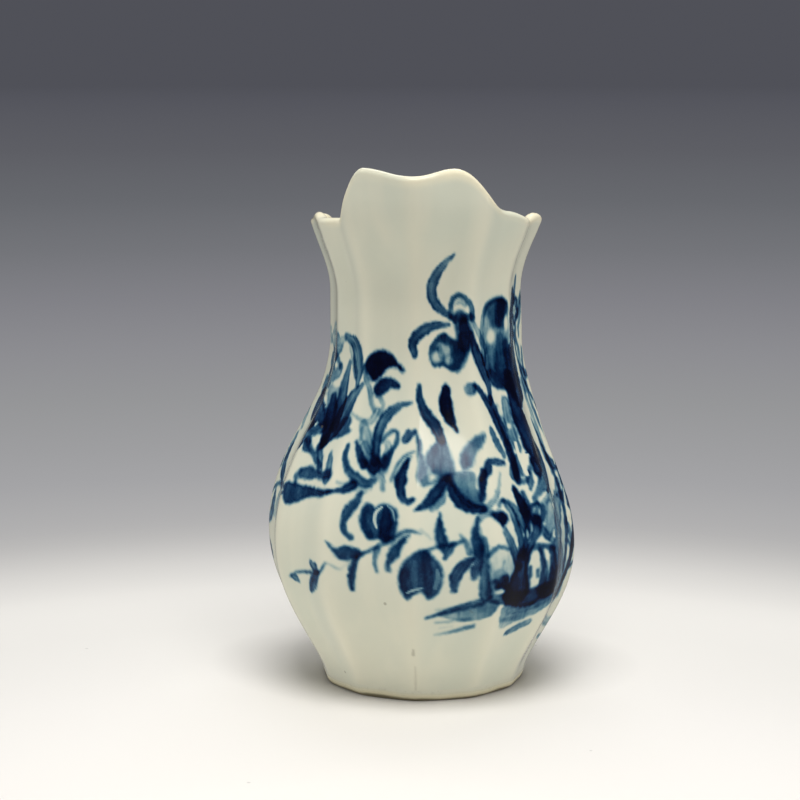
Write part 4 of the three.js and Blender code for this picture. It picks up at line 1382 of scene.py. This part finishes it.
RIGHT_EDGE = [
    ([(556, 463), (561, 478), (564, 490)], [0.8, 1.2, 1], 0.85, 0.85, 0.7),
    ([(557, 482), (558, 500), (558, 530), (556, 560), (552, 585)],
     [4, 5, 6, 7, 6], 0.65, 0.75, 0.9),
    ([(562, 483), (568.5, 500), (572.5, 516), (574.3, 530), (574.6, 545)],
     [0.8, 1.3, 1.5, 1.4, 1.2], 0.93, 0.9, 0.9),
    ([(566.5, 518), (569, 529), (571.5, 540)], [0.8, 2.4, 1], 0.8, 0.75, 0.7),
    ([(568, 540), (571, 550), (570, 560)], [0.8, 1.6, 1], 0.75, 0.7, 0.7),
    ([(560, 556), (561, 575), (557, 592)], [4, 4, 3], 0.5, 0.4, 0.9),
]
EDGE_SLIVERS = [
    ([(515.5, 443), (518.5, 454), (523, 465), (527, 474)], [2.5, 3, 4, 3.5], 0.95),
    ([(533, 400), (539.5, 420), (548, 444), (555, 464)], [0.5, 1.2, 1.4, 0.8], 0.8),
    ([(563, 486), (566, 505), (568, 520)], [0.6, 2.2, 1.4], 0.8),
]
GROUND = [
    ([(426, 618.5), (441, 613.5), (460, 608), (480, 602.5)], [2, 3.5, 5, 7], 0.85, 0.8, 0.6),
    ([(436, 610), (452, 608), (470, 603)], [1.5, 2.5, 3], 0.35, 0.5, 0.2),
    ([(436, 623), (446, 622), (458, 620.5), (470, 619)], [2, 2.5, 2.5, 2], 0.35, 0.4, 0.1),
    ([(435, 635), (448, 632.5), (460, 629.5), (473, 626)], [1.5, 2.5, 3, 3], 0.4, 0.75, 0.3),
    ([(440, 628), (452, 626.5)], [1.5, 1.5], 0.25, 0.25, 0.1),
    ([(505, 633.5), (515, 628), (528, 622)], [1.5, 4, 3.5], 0.75, 0.7, 0.5),
    ([(508, 611), (524, 608), (540, 602), (551, 595)], [5, 6, 6, 4], 0.55, 0.5, 0.6),
    ([(502, 620), (516, 617), (531, 612)], [2, 2.5, 2], 0.4, 0.4, 0.3),
]
GROUND_WASH_LEFT = [
    (438, 614.5), (452, 610), (468, 606), (482, 602), (498, 600), (497, 610), (490, 616),
    (478, 620), (464, 621.5), (450, 619),
]
GROUND_WASH_RIGHT = [
    (500, 628.5), (500.5, 612), (506, 606), (520, 606), (536, 601), (547, 594), (555, 588),
    (556, 594), (549, 604), (538, 612), (525, 618), (512, 623),
]
# Marks of the stain are (line, widths, load)
SEAM_MARKS = [
    ([(413.2, 650), (413.4, 655)], [1.4, 2], 0.45),
    ([(415.2, 667), (415.6, 679), (415.8, 690)], [0.8, 1, 0.8], 0.28),
    ([(470, 611), (472, 612)], [1.5, 1.5], 0.3),
]


def draw(brush, *groups):
    """Lays the strokes of each group in turn."""
    for group in groups:
        for stroke in group:
            brush.stroke(*stroke)


def paint_front(brush):
    """The flowering branch as it shows from the front, from the rock's washes up to the curl."""
    # Partly a painted reflection: the dark wash along the fold by the right edge
    brush.shape(EDGE_WASH_AND_REFLECTION, 0.12, 0.55, towards=(0, 1), tone=0.9, rim=0)
    for wash, load in ((GROUND_WASH_LEFT, 0.7), (GROUND_WASH_RIGHT, 0.66)):
        brush.shape(wash, load, load - 0.18, towards=(-1, 0.6), tone=0.25, soft=2, rim=0.05)
    brush.shape(HILL, 0.1, 0.8, towards=(0, 1), tone=0.4, soft=2, rim=0.05)
    brush.shape(SHINE_WASH, 0.75, 0.5, towards=(1, -1), tone=0.1, soft=2.2, rim=0.05)
    draw(brush, GROUND, ROCK, TALL_LEAF, RIGHT_BAND, RIGHT_LOOPS, RIGHT_EDGE)
    brush.shape(TALL_LEAF_WASH, 0.5, tone=0.15, rim=0)
    brush.shape(TALL_LEAF_BODY, 0.35, 0.7, towards=(1, 0.6), tone=0.3, soft=4, rim=0)
    brush.shape(TALL_LEAF_HEAD, 0.6, 0.8, tone=0.3, soft=4.5, rim=0)
    brush.stroke(*TALL_LEAF_CORE)
    for gap in RIGHT_BAND_GAPS + ROCK_GAPS:
        brush.lift(*gap)
    for sliver in EDGE_SLIVERS:
        brush.wipe(*sliver)
    draw(brush, ROCK_SPOTS, LOOP_BUD, BUD, TOP_CURL, STEMS, LEFT_EDGE, LOOP_LEAVES)
    brush.shape(ROUND_FLOWER, 0.78, 0.9, tone=0.35, rim=0.2)
    for hollow in FLOWER_HOLLOWS:
        brush.lift(*hollow, soft=0.6)
    draw(brush, FLOWER_SMUDGES)
    brush.shape(STEM_BUD, 0.6, 0.85)
    brush.shape(DARK_BLOT, 0.97, tone=1)
    brush.shape(LOWER_LOBE, 0.72, 0.85, tone=0.6)
    draw(brush, SPEAR_LEAVES)
    brush.shape(DARK_LEAF, 0.95, 0.45, towards=(0, -1), tone=0.9, rim=0.1)
    brush.stroke(*DARK_LEAF_HEART)
    brush.shape(DARK_FLOWER, 0.99, tone=1, soft=3.2, rim=0.1)
    brush.shape(DARK_PETAL, 0.93, tone=0.95, rim=0.1)
    draw(brush, FLOWER_STALK, SPRAY_FILL, SPRAY)
    brush.shape(SPRAY_HEART, 0.66, 0.7, soft=3.6, rim=0)
    for leaf in SHADED_LEAVES:
        brush.shape(leaf, 0.8, 0.7, towards=(1, 0.3), tone=0.7, soft=3.4, rim=0)
    draw(brush, NARROW_LEAVES, UNDER_SHINE, LEFT_TWIGS, LOWER_BRANCH, SPRIG, RIGHT_LEAVES)
    brush.shape(LEFT_UPPER_LEAF, 0.82, tone=0.75)
    brush.shape(LEFT_LONG_LEAF, 0.8, 0.93, tone=0.8, rim=0.25)
    brush.shape(TWIN_FRUIT, 0.83, tone=0.6, rim=0.15)
    draw(brush, TWIN_FRUIT_HEART)
    for shine in TWIN_FRUIT_SHINE:
        brush.wipe(*shine)
    for leaf in (BRANCH_LEAF, HANGING_LEAF, ROUND_LEAF, TALL_DARK_LEAF):
        brush.shape(leaf, 0.86, 0.89, rim=0.1)
    brush.shape(BIG_FRUIT, 0.88, 0.82, tone=0.6, rim=0.15)
    draw(brush, BIG_FRUIT_DARK)
    for shine in BIG_FRUIT_SHINE:
        brush.wipe(*shine)


def paint_sides(brush):
    """The rest of the branch, where it runs on round both sides, and two sprigs by the handle."""
    for line, *how in SIDE_BRANCHES:
        brush.stroke(side(*line), *how)
    for base, tip, width, bend, load, tone in SIDE_LEAVES:
        brush.leaf(*side(base, tip), width, bend, load, load * 0.85, tone)
    for centre, size, tone in SIDE_FLOWERS:
        blossom(brush, centre, size, tone)
    for centre, across, down in SIDE_FRUIT:
        (spot,) = side(centre)
        brush.disc(spot, across, down, load=0.85, far_load=0.95, tone=0.85, rim=0.2)
        shine = side((centre[0] - 1, centre[1] + 1.2), (centre[0] - 1.2, centre[1] - 1))
        brush.wipe(shine, [2, 5, 3], 0.25)


def blossom(brush, centre, size, tone):
    """An open flower of five lobed petals round a pale heart."""
    spot = np.asarray(side(centre)[0])
    petal = {"load": 0.7, "far_load": 0.94, "tone": tone, "rim": 0.3}
    for k in range(5):
        turn = math.radians(72 * k + 20)
        way = np.array([math.cos(turn), math.sin(turn)])
        brush.disc(spot + way * size * 0.36, size * 0.46, size * 0.42, towards=way, **petal)
        brush.wipe([spot + way * size * 0.16, spot + way * size * 0.4], [2, 3, 1], 0.4)
    brush.lift(spot, size * 0.3, size * 0.3, 0.8)
    brush.disc(spot, size * 0.13, size * 0.13, load=0.7, tone=0.3, rim=0.1)


SIDE_BRANCHES = [
    ([(79, 50), (83, 42), (83, 33), (78, 22)], [2, 5, 7, 4], 0.85, 0.88, 0.4),
    ([(77, 17), (85, 24), (92, 34), (96, 47), (92, 60), (97, 70)],
     [8, 8, 6, 5, 4, 3], 0.95, 0.85, 0.8),
    ([(92, 34), (106, 40), (118, 39), (130, 44)], [5, 4, 3.5, 2.5], 0.9, 0.75, 0.6),
    ([(96, 47), (84, 56), (78, 64)], [4, 4, 3], 0.88, 0.75, 0.5),
    ([(84, 22), (98, 22), (112, 17), (124, 20)], [5, 4, 3, 2.5], 0.85, 0.65, 0.5),
    ([(92, 60), (104, 64), (112, 62)], [3.5, 3, 2], 0.8, 0.65, 0.4),
    ([(74, 13), (86, 11), (102, 11), (118, 13)], [7, 10, 7, 3], 0.62, 0.4, 0.3),
    ([(82, 8.5), (94, 7.5), (106, 8.5)], [4, 5, 2], 0.55, 0.4, 0.2),
    ([(-68, 36), (-82, 37), (-96, 33), (-110, 36)], [4, 4, 3.5, 2], 0.85, 0.6, 0.6),
    ([(-88, 40), (-98, 50), (-103, 62)], [4.5, 4, 2.5], 0.85, 0.7, 0.6),
    ([(-98, 50), (-112, 57), (-120, 56)], [3.5, 3, 2], 0.8, 0.6, 0.4),
    ([(-96, 33), (-104, 26), (-116, 23)], [3, 3, 2], 0.75, 0.55, 0.3),
    ([(-140, 26), (-147, 32), (-150, 40)], [3, 3, 2], 0.8, 0.6, 0.4),
    ([(146, 60), (152, 66), (150, 72)], [2.5, 3, 2], 0.8, 0.6, 0.4),
]
# Leaves are (base, tip, width, bend, load, tone)
SIDE_LEAVES = [
    ((96, 47), (108, 54), 12, 0.2, 0.93, 0.8),
    ((94, 52), (104, 60), 10, -0.2, 0.85, 0.5),
    ((92, 40), (80, 46), 12, 0.2, 0.92, 0.8),
    ((90, 32), (78, 36), 12, -0.2, 0.9, 0.7),
    ((100, 38), (108, 30), 12, 0.25, 0.93, 0.9),
    ((110, 40), (118, 49), 11, 0.2, 0.88, 0.5),
    ((118, 39), (128, 33), 11, 0.2, 0.9, 0.8),
    ((124, 42), (134, 49), 10, -0.2, 0.85, 0.6),
    ((130, 44), (141, 42), 9, 0.15, 0.8, 0.4),
    ((86, 24), (94, 29), 10, 0.2, 0.9, 0.8),
    ((98, 22), (106, 27), 10, 0.2, 0.88, 0.7),
    ((106, 19), (114, 12.5), 10, 0.2, 0.88, 0.8),
    ((116, 18), (124, 25), 9, -0.2, 0.82, 0.5),
    ((124, 20), (134, 19), 8, 0.2, 0.8, 0.4),
    ((96, 66), (104, 74), 9, 0.2, 0.88, 0.7),
    ((97, 70), (94, 78), 8, -0.2, 0.85, 0.5),
    ((92, 58), (82, 60), 9, 0.2, 0.86, 0.6),
    ((78, 64), (74, 72), 8, 0.2, 0.85, 0.6),
    ((104, 64), (114, 69), 8, 0.2, 0.84, 0.6),
    ((76, 15), (70, 22), 11, 0.2, 0.93, 0.9),
    ((-76, 37), (-84, 45), 11, 0.2, 0.92, 0.8),
    ((-84, 36), (-92, 28), 11, 0.2, 0.9, 0.8),
    ((-92, 35), (-101, 42), 10, -0.2, 0.86, 0.5),
    ((-103, 35), (-112, 44), 9, 0.2, 0.84, 0.6),
    ((-110, 36), (-122, 34), 9, 0.15, 0.8, 0.5),
    ((-103, 56), (-112, 66), 9, 0.2, 0.88, 0.7),
    ((-103, 62), (-101, 73), 8, -0.2, 0.84, 0.5),
    ((-120, 56), (-130, 60), 8, 0.2, 0.8, 0.5),
    ((-102, 28), (-98, 20), 9, 0.2, 0.84, 0.7),
    ((-116, 23), (-126, 25), 8, 0.15, 0.76, 0.4),
    ((-112, 24), (-116, 16), 8, 0.2, 0.8, 0.6),
    ((-144, 29), (-154, 32), 8, 0.2, 0.84, 0.7),
    ((-148, 34), (-139, 38), 8, 0.2, 0.82, 0.6),
    ((-140, 26), (-134, 20), 8, 0.2, 0.82, 0.6),
    ((149, 62), (142, 68), 7, 0.2, 0.84, 0.7),
    ((151, 66), (160, 68), 7, 0.2, 0.8, 0.5),
]
# Flowers are (centre, width, tone), and fruit (centre, width, height)
SIDE_FLOWERS = [
    ((117, 58), 46, 0.7),
    ((-122, 45), 40, 0.75),
    ((-150, 44), 26, 0.6),
    ((78, 70), 28, 0.6),
    ((150, 75), 20, 0.6),
]
SIDE_FRUIT = [((104, 34), 26, 28), ((128, 27), 20, 21), ((-90, 24), 24, 25)]


FACING = 0.3  # how squarely the skin faces the camera where the seam's marks are laid


def paint(obj, lens, bow, crest, angle, rows):
    """Lays the blue on the outside of a body half, and marks its arrises, its rim and its seam."""
    count = len(obj.data.vertices)
    points = np.empty(count * 3, np.float32)
    obj.data.vertices.foreach_get("co", points)
    points = points.reshape(-1, 3).astype(float)
    outside = 1.0 * (np.arange(count) % rows < OUTER_ROWS)
    towards = EYE - points
    towards /= np.linalg.norm(towards, axis=1, keepdims=True)
    turned = np.radians(angle)
    facing = np.sin(turned) * towards[:, 0] - np.cos(turned) * towards[:, 1]
    wrapped_page = np.stack([angle * UNITS_PER_DEGREE, -points[:, 2] / MM * PX_PER_MM], -1)
    ink, tone, mark = np.zeros(count), np.full(count, 0.5), np.zeros(count)
    paint_sides(Brush(wrapped_page, outside, ink, tone))
    paint_front(Brush(wrapped_page, outside, ink, tone, lens))
    soil = Brush(page(points), outside * (facing > FACING), mark, np.zeros(count))
    for line, widths, load in SEAM_MARKS:
        soil.stroke(line, widths, load, soft=0.5)
    attributes = {"ink": ink, "tone": tone, "mark": mark, "arris": 1 - bow, "crest": crest}
    for name, values in attributes.items():
        layer = obj.data.attributes.new(name, "FLOAT", "POINT")
        layer.data.foreach_set("value", values.astype(np.float32))


def solid(colour):
    """The colour as four numbers, with nothing see-through."""
    return (*colour, 1.0)


THICKEST = 0.93  # share of the light that the thickest colour would stop at a depth of 1
INK_CURVE = 1.4  # above 1, thin colour is thinner than the brush's count of it
GRAIN_DEPTH, CLOUD_DEPTH = 0.08, 0.12  # unevenness of the cobalt, up and down
RUNS = (150, 150, 16)  # the glaze's runs, long upwards and narrow across


def glaze_material(c):
    """Clear, faintly green glaze over white porcelain, with cobalt under it."""
    r = Recipe(bpy.data.materials.new("blue_painted_glaze"))
    place = r.add("ShaderNodeTexCoord").outputs["Object"]
    cloud = r.noise(place, 38, 3)
    runs = r.add("ShaderNodeMapping", {"Vector": place, "Scale": RUNS}).outputs[0]
    streak = r.noise(runs, 1.0, 2)
    body = r.blend(r.span(cloud, 0.35, 0.65), solid(c.glaze), solid(c.glaze_green))
    body = r.blend(r.span(streak, 0.45, 0.72, 0, 0.5), body, solid(c.glaze_warm_and_sheen))
    # The arrises are painted paler and warmer: partly the thin glaze there, partly a painted
    # highlight along each ridge
    thin = r.times(r.maths("POWER", r.layer("arris"), 3.0), 0.55)
    body = r.blend(thin, body, solid(c.glaze_warm_and_sheen))
    # The crest of the rim is painted paler and warmer: partly thin glaze, partly a painted glow for
    # light through the thin rim
    rim = r.times(r.layer("crest"), r.span(r.noise(place, 70, 2), 0.42, 0.6, 0.25, 0.85))
    body = r.blend(rim, body, solid(c.rim_tint_and_glow))
    grain, cloudiness = r.noise(place, 1900, 2, 0.6), r.noise(place, 420, 3, 0.6)
    laid = r.maths("POWER", r.maths("MAXIMUM", r.layer("ink"), 0.0), INK_CURVE)
    bare = r.maths("SUBTRACT", 1.0, r.times(laid, THICKEST))
    depth = r.times(r.maths("LOGARITHM", bare, math.e), -c.cobalt_depth)
    fine = r.span(grain, 0.3, 0.7, -GRAIN_DEPTH, GRAIN_DEPTH)
    broad = r.span(cloudiness, 0.3, 0.7, -CLOUD_DEPTH, CLOUD_DEPTH)
    depth = r.times(depth, r.maths("ADD", r.maths("ADD", fine, broad), 1.0))
    stain = r.blend(r.layer("tone"), solid(c.teal_stain), solid(c.navy_stain))
    parts = r.add("ShaderNodeSeparateColor", {"Color": stain}).outputs
    passed = [r.maths("EXPONENT", r.times(r.times(depth, part), -1.0)) for part in parts]
    through = r.add("ShaderNodeCombineColor", dict(enumerate(passed))).outputs[0]
    shown = r.vectors("MULTIPLY", a=body, b=through)
    shown = r.blend(r.times(r.flecks(place, 240.0, 0.075, 0.9), 0.4), shown, solid(c.stain))
    shown = r.blend(r.layer("mark"), shown, solid(c.stain))
    peel, waves = r.noise(place, 190, 2, 0.45), r.noise(place, 55, 1, 0.4)
    height = r.maths("ADD", r.times(peel, 0.25), waves)
    return r.coat(shown, r.span(cloudiness, 0.3, 0.7, 0.04, 0.09), height, 0.35, 0.00022, 0.3)


STAIN_AND_CONTACT_SHADOW = 0.9  # how strongly the foot's very bottom edge is darkened: partly brown stain, partly painted contact shadow


def foot_material(c):
    """The bare body where the glaze was wiped off, darkened along its very bottom edge below the
    glaze: partly a brown stain, partly a painted contact shadow.
    """
    r = Recipe(bpy.data.materials.new("wiped_foot"))
    place = r.add("ShaderNodeTexCoord").outputs["Object"]
    height = r.add("ShaderNodeSeparateXYZ", {"Vector": place}).outputs["Z"]
    edge = r.maths("ADD", height, r.span(r.noise(place, 90, 3), 0.3, 0.7, -0.0003, 0.0003))
    body = r.blend(r.span(edge, 0.0006, 0.0017), solid(c.bare), solid(c.glaze))
    # Darker along the very bottom edge: partly brown stain, partly painted contact shadow
    body = r.blend(r.times(r.span(edge, 0.0007, 0.0003), STAIN_AND_CONTACT_SHADOW), body, solid(c.stain))
    grit = r.noise(place, 1500, 3, 0.6)
    body = r.blend(r.span(grit, 0.55, 0.75, 0, 0.12), body, solid(c.stain))
    return r.coat(body, r.span(edge, 0.0007, 0.0014, 0.75, 0.16), grit, 0.2, 0.00008)


# Floor tones by distance from a point in front of the jug: a painted pool of light on the table that
# falls into painted dusk
GLOW_CENTRE = (0.0, -0.10, 0.0)
GLOW_NEAR, GLOW_FAR = 0.03, 6.0
FLOOR_LIGHT_TONES = (
    (0.03, (0.825, 0.80, 0.76)),
    (0.09, (0.73, 0.71, 0.685)),
    (0.13, (0.68, 0.665, 0.64)),
    (0.16, (0.68, 0.665, 0.64)),
    (0.185, (0.60, 0.588, 0.57)),
    (0.212, (0.49, 0.482, 0.475)),
    (0.235, (0.437, 0.432, 0.434)),
    (0.285, (0.373, 0.372, 0.383)),
    (0.33, (0.344, 0.344, 0.354)),
    (0.42, (0.304, 0.306, 0.315)),
    (0.54, (0.267, 0.267, 0.285)),
    (0.71, (0.222, 0.222, 0.243)),
    (0.96, (0.174, 0.178, 0.194)),
    (1.37, (0.136, 0.141, 0.156)),
    (2.2, (0.110, 0.112, 0.128)),
    (4.4, (0.090, 0.092, 0.110)),
    (6.0, (0.080, 0.082, 0.098)),
)
DUSK = FLOOR_LIGHT_TONES[-1][1]
FLECK = (0.3, 0.29, 0.28)  # dust on the table
MIRRORED_TABLE = 0.4  # how bright the table is where the glaze mirrors it
PAINTED_SHADOW_SCALE = (1 / 0.042, 1 / 0.032, 0)  # the oval round the foot in which the table is painted darker, a painted shadow
PAINTED_SHADOW_TONE = 0.74  # the painted shadow's tone at the foot, as a share of the table's tone further off
BOUNCE = 1.26  # how much more light the table throws up at the jug than it shows


def seen_directly(r):
    """1 for what the camera, a mirror or a glass sees, and 0 for light that falls on things."""
    path = r.add("ShaderNodeLightPath")
    either = r.maths("MAXIMUM", path.outputs["Is Camera Ray"], path.outputs["Is Glossy Ray"])
    return r.maths("MAXIMUM", either, path.outputs["Is Transmission Ray"])


def floor_material():
    """A pale table whose painted tones fall from a pool of light into dusk: lit nearby, where it
    keeps the jug's shadow and a painted shadow round the foot, and glowing further off.
    """
    r = Recipe(bpy.data.materials.new("pale_table"))
    place = r.add("ShaderNodeTexCoord").outputs["Object"]
    far = r.vectors("DISTANCE", "Value", a=place, b=GLOW_CENTRE)
    along = r.span(r.maths("LOGARITHM", far, math.e), math.log(GLOW_NEAR), math.log(GLOW_FAR))
    tones = r.add("ShaderNodeValToRGB", {"Fac": along})
    ramp = tones.color_ramp
    while len(ramp.elements) < len(FLOOR_LIGHT_TONES):
        ramp.elements.new(0.5)
    for element, (distance, colour) in zip(ramp.elements, FLOOR_LIGHT_TONES):
        element.position = math.log(distance / GLOW_NEAR) / math.log(GLOW_FAR / GLOW_NEAR)
        element.color = solid(colour)
    fleck = r.times(r.flecks(place, 90.0, 0.03, 0.86), 0.35)
    tone = r.blend(fleck, tones.outputs["Color"], solid(FLECK))
    direct = seen_directly(r)
    paler = r.vectors("MULTIPLY", a=tone, b=(BOUNCE, BOUNCE, BOUNCE))
    # Painted shadow: the table's tone darkened in an oval round the foot, only where it is seen
    # directly
    nearby = r.add("ShaderNodeMapping", {"Vector": place, "Scale": PAINTED_SHADOW_SCALE}).outputs[0]
    painted_shadow = r.span(r.vectors("LENGTH", "Value", a=nearby), 0.5, 1.0, PAINTED_SHADOW_TONE, 1.0)
    shade = r.maths("MAXIMUM", painted_shadow, r.maths("SUBTRACT", 1.0, direct))
    thrown = r.vectors("SCALE", a=r.blend(direct, paler, tone), scale=shade)
    lit = r.add("ShaderNodeBsdfPrincipled", {"Base Color": thrown, "Roughness": 0.65})
    mirror = r.add("ShaderNodeLightPath").outputs["Is Glossy Ray"]
    bright = r.span(mirror, 0, 1, 1.0, MIRRORED_TABLE)
    # Further off, and where the glaze mirrors it, the table glows with the painted light tones
    # instead of being lit
    glow = r.add("ShaderNodeEmission", {"Color": tone, "Strength": bright})
    share = r.maths("MAXIMUM", r.times(r.span(far, 0.15, 0.225), direct), mirror)
    both = r.add("ShaderNodeMixShader", {0: share, 1: lit.outputs[0], 2: glow.outputs[0]})
    return r.finish(both)


def world_light(studio):
    """Even light from all round, and dusk where it is seen."""
    r = Recipe(bpy.data.worlds.new("Dusk"))
    path = r.add("ShaderNodeLightPath").outputs
    seen = r.maths("MAXIMUM", path["Is Camera Ray"], path["Is Glossy Ray"])
    sky = {"Color": (1.0, 0.985, 0.96, 1), "Strength": studio.sky}
    light = r.add("ShaderNodeBackground", sky).outputs[0]
    dusk = r.add("ShaderNodeBackground", {"Color": solid(DUSK), "Strength": 1.0}).outputs[0]
    both = r.add("ShaderNodeMixShader", {0: seen, 1: light, 2: dusk})
    bpy.context.scene.world = r.finish(both, "ShaderNodeOutputWorld")


def aim(obj, place, target):
    """Puts a lamp or camera in its place and points it at the target."""
    obj.location = place
    obj.rotation_euler = (Vector(target) - Vector(place)).to_track_quat("-Z", "Y").to_euler()


AIM_HEIGHT = 0.05  # lamps point at the middle of the jug


def round_about(azimuth, elevation, distance):
    """A place seen from the jug at an angle to the right of the front, and above the table."""
    a, e = math.radians(azimuth), math.radians(elevation)
    level = distance * math.cos(e)
    return (level * math.sin(a), -level * math.cos(a), AIM_HEIGHT + distance * math.sin(e))


# Lamps are (name, place, width, height, power, share of it, colour, whether the glaze mirrors it)
LAMPS = (
    ("key", round_about(34, 33.7, 0.62), 0.24, 0.055, "key_power", 1, (1.0, 0.98, 0.96), True),
    ("overhead", (0.05, -0.24, 0.78), 0.42, 0.42, "top_power", 1, (1.0, 0.99, 0.97), True),
    ("behind", (0.0, 0.45, 0.7), 0.6, 0.4, "back_power", 1, (0.98, 0.99, 1.0), True),
    ("fill", round_about(-96, 6, 0.75), 0.4, 0.16, "fill_power", 1, (0.97, 0.99, 1.0), False),
    ("counter", round_about(98, 6, 0.75), 0.4, 0.16, "fill_power", 0.7, (1.0, 0.99, 0.97), False),
)


def hang_lamps(studio):
    """The soft boxes round the jug."""
    for name, place, width, height, power, share, colour, mirrored in LAMPS:
        light = bpy.data.lights.new(name, "AREA")
        light.shape, light.size, light.size_y = "RECTANGLE", width, height
        light.energy, light.color = share * getattr(studio, power), colour
        obj = bpy.data.objects.new(name, light)
        obj.visible_glossy = mirrored
        bpy.context.scene.collection.objects.link(obj)
        aim(obj, place, (0, 0, AIM_HEIGHT))


TABLE_SIDES = 96
TABLE_RINGS = (0.25, 1.0, 6.0)  # metres from the jug to the rings of the table's mesh


def lay_table():
    """A round table top that runs far out of sight."""
    turn = np.linspace(0, 2 * np.pi, TABLE_SIDES, endpoint=False)
    reach = np.array(TABLE_RINGS)[:, None]
    rings = np.stack([reach * np.cos(turn), reach * np.sin(turn), 0 * reach * turn], -1)
    points = np.concatenate([rings.reshape(-1, 3), [(0, 0, 0)]])
    faces = grid_faces(len(TABLE_RINGS), TABLE_SIDES, closed_rows=True)
    table = add_mesh("table", points, faces, ring_end(0, TABLE_SIDES, len(points) - 1, False))
    table.data.materials.append(floor_material())


def set_camera():
    """The camera that saw the jug in the photograph."""
    lens = bpy.data.cameras.new("camera")
    lens.sensor_width = SENSOR
    lens.lens = SENSOR * FOCAL_PIXELS / PICTURE
    lens.clip_start, lens.clip_end = 0.01, 100
    camera = bpy.data.objects.new("camera", lens)
    bpy.context.scene.collection.objects.link(camera)
    aim(camera, EYE, Vector(EYE) + Vector(FORWARD))
    bpy.context.scene.camera = camera


def finish_of(name, make):
    """The material of this name, made the first time that it is asked for."""
    return bpy.data.materials.get(name) or make(bpy.context.scene.jug_finish)


class JUG_OT_body(Operator):
    """Presses and paints both halves of the body"""

    bl_idname = "cream_jug.body"
    bl_label = "Body halves"

    def execute(self, context):
        glaze = finish_of("blue_painted_glaze", glaze_material)
        body_half(context.scene.jug_form, "body_right_half", 1, glaze)
        body_half(context.scene.jug_form, "body_left_half", -1, glaze)
        return {"FINISHED"}


class JUG_OT_base(Operator):
    """Makes the base disc and the foot ring"""

    bl_idname = "cream_jug.base"
    bl_label = "Base and foot"

    def execute(self, context):
        base_disc(context.scene.jug_form, finish_of("blue_painted_glaze", glaze_material))
        foot_ring(context.scene.jug_form, finish_of("wiped_foot", foot_material))
        return {"FINISHED"}


class JUG_OT_handle(Operator):
    """Makes the handle and the slip that holds its ends"""

    bl_idname = "cream_jug.handle"
    bl_label = "Handle"

    def execute(self, context):
        form, grip = context.scene.jug_form, context.scene.jug_handle
        glaze = finish_of("blue_painted_glaze", glaze_material)
        handle(form, grip, glaze)
        lute(form, grip, "handle_upper_lute", 0, glaze)
        lute(form, grip, "handle_lower_lute", 1, glaze)
        return {"FINISHED"}


class JUG_OT_studio(Operator):
    """Sets out the table, the light and the camera"""

    bl_idname = "cream_jug.studio"
    bl_label = "Studio"

    def execute(self, context):
        lay_table()
        world_light(context.scene.jug_studio)
        hang_lamps(context.scene.jug_studio)
        set_camera()
        context.scene.view_settings.view_transform = "Standard"
        return {"FINISHED"}


class JUG_PT_sidebar(Panel):
    """Steps that build the jug, and its sizes"""

    bl_label = "Cream jug"
    bl_idname = "JUG_PT_sidebar"
    bl_space_type = "VIEW_3D"
    bl_region_type = "UI"
    bl_category = "Cream jug"

    def draw(self, context):
        for step in STEPS:
            self.layout.operator(step.bl_idname)
        for group in (getattr(context.scene, name) for name in GROUPS):
            box = self.layout.box()
            for name in group.bl_rna.properties.keys():
                if name not in ("rna_type", "name"):
                    box.prop(group, name)


STEPS = (JUG_OT_body, JUG_OT_base, JUG_OT_handle, JUG_OT_studio)
CLASSES = (JugForm, HandleForm, Finish, Studio, *STEPS, JUG_PT_sidebar)
GROUPS = {"jug_form": JugForm, "jug_handle": HandleForm, "jug_finish": Finish, "jug_studio": Studio}


def register():
    """Makes the groups of sizes, the operators and the panel known to Blender."""
    for cls in CLASSES:
        bpy.utils.register_class(cls)
    for name, group in GROUPS.items():
        setattr(bpy.types.Scene, name, PointerProperty(type=group))


def unregister():
    """Takes them out again."""
    for name in GROUPS:
        delattr(bpy.types.Scene, name)
    for cls in reversed(CLASSES):
        bpy.utils.unregister_class(cls)


def main():
    """Builds the jug and its studio."""
    register()
    bpy.ops.cream_jug.body()
    bpy.ops.cream_jug.base()
    bpy.ops.cream_jug.handle()
    bpy.ops.cream_jug.studio()


if __name__ == "__main__":
    main()
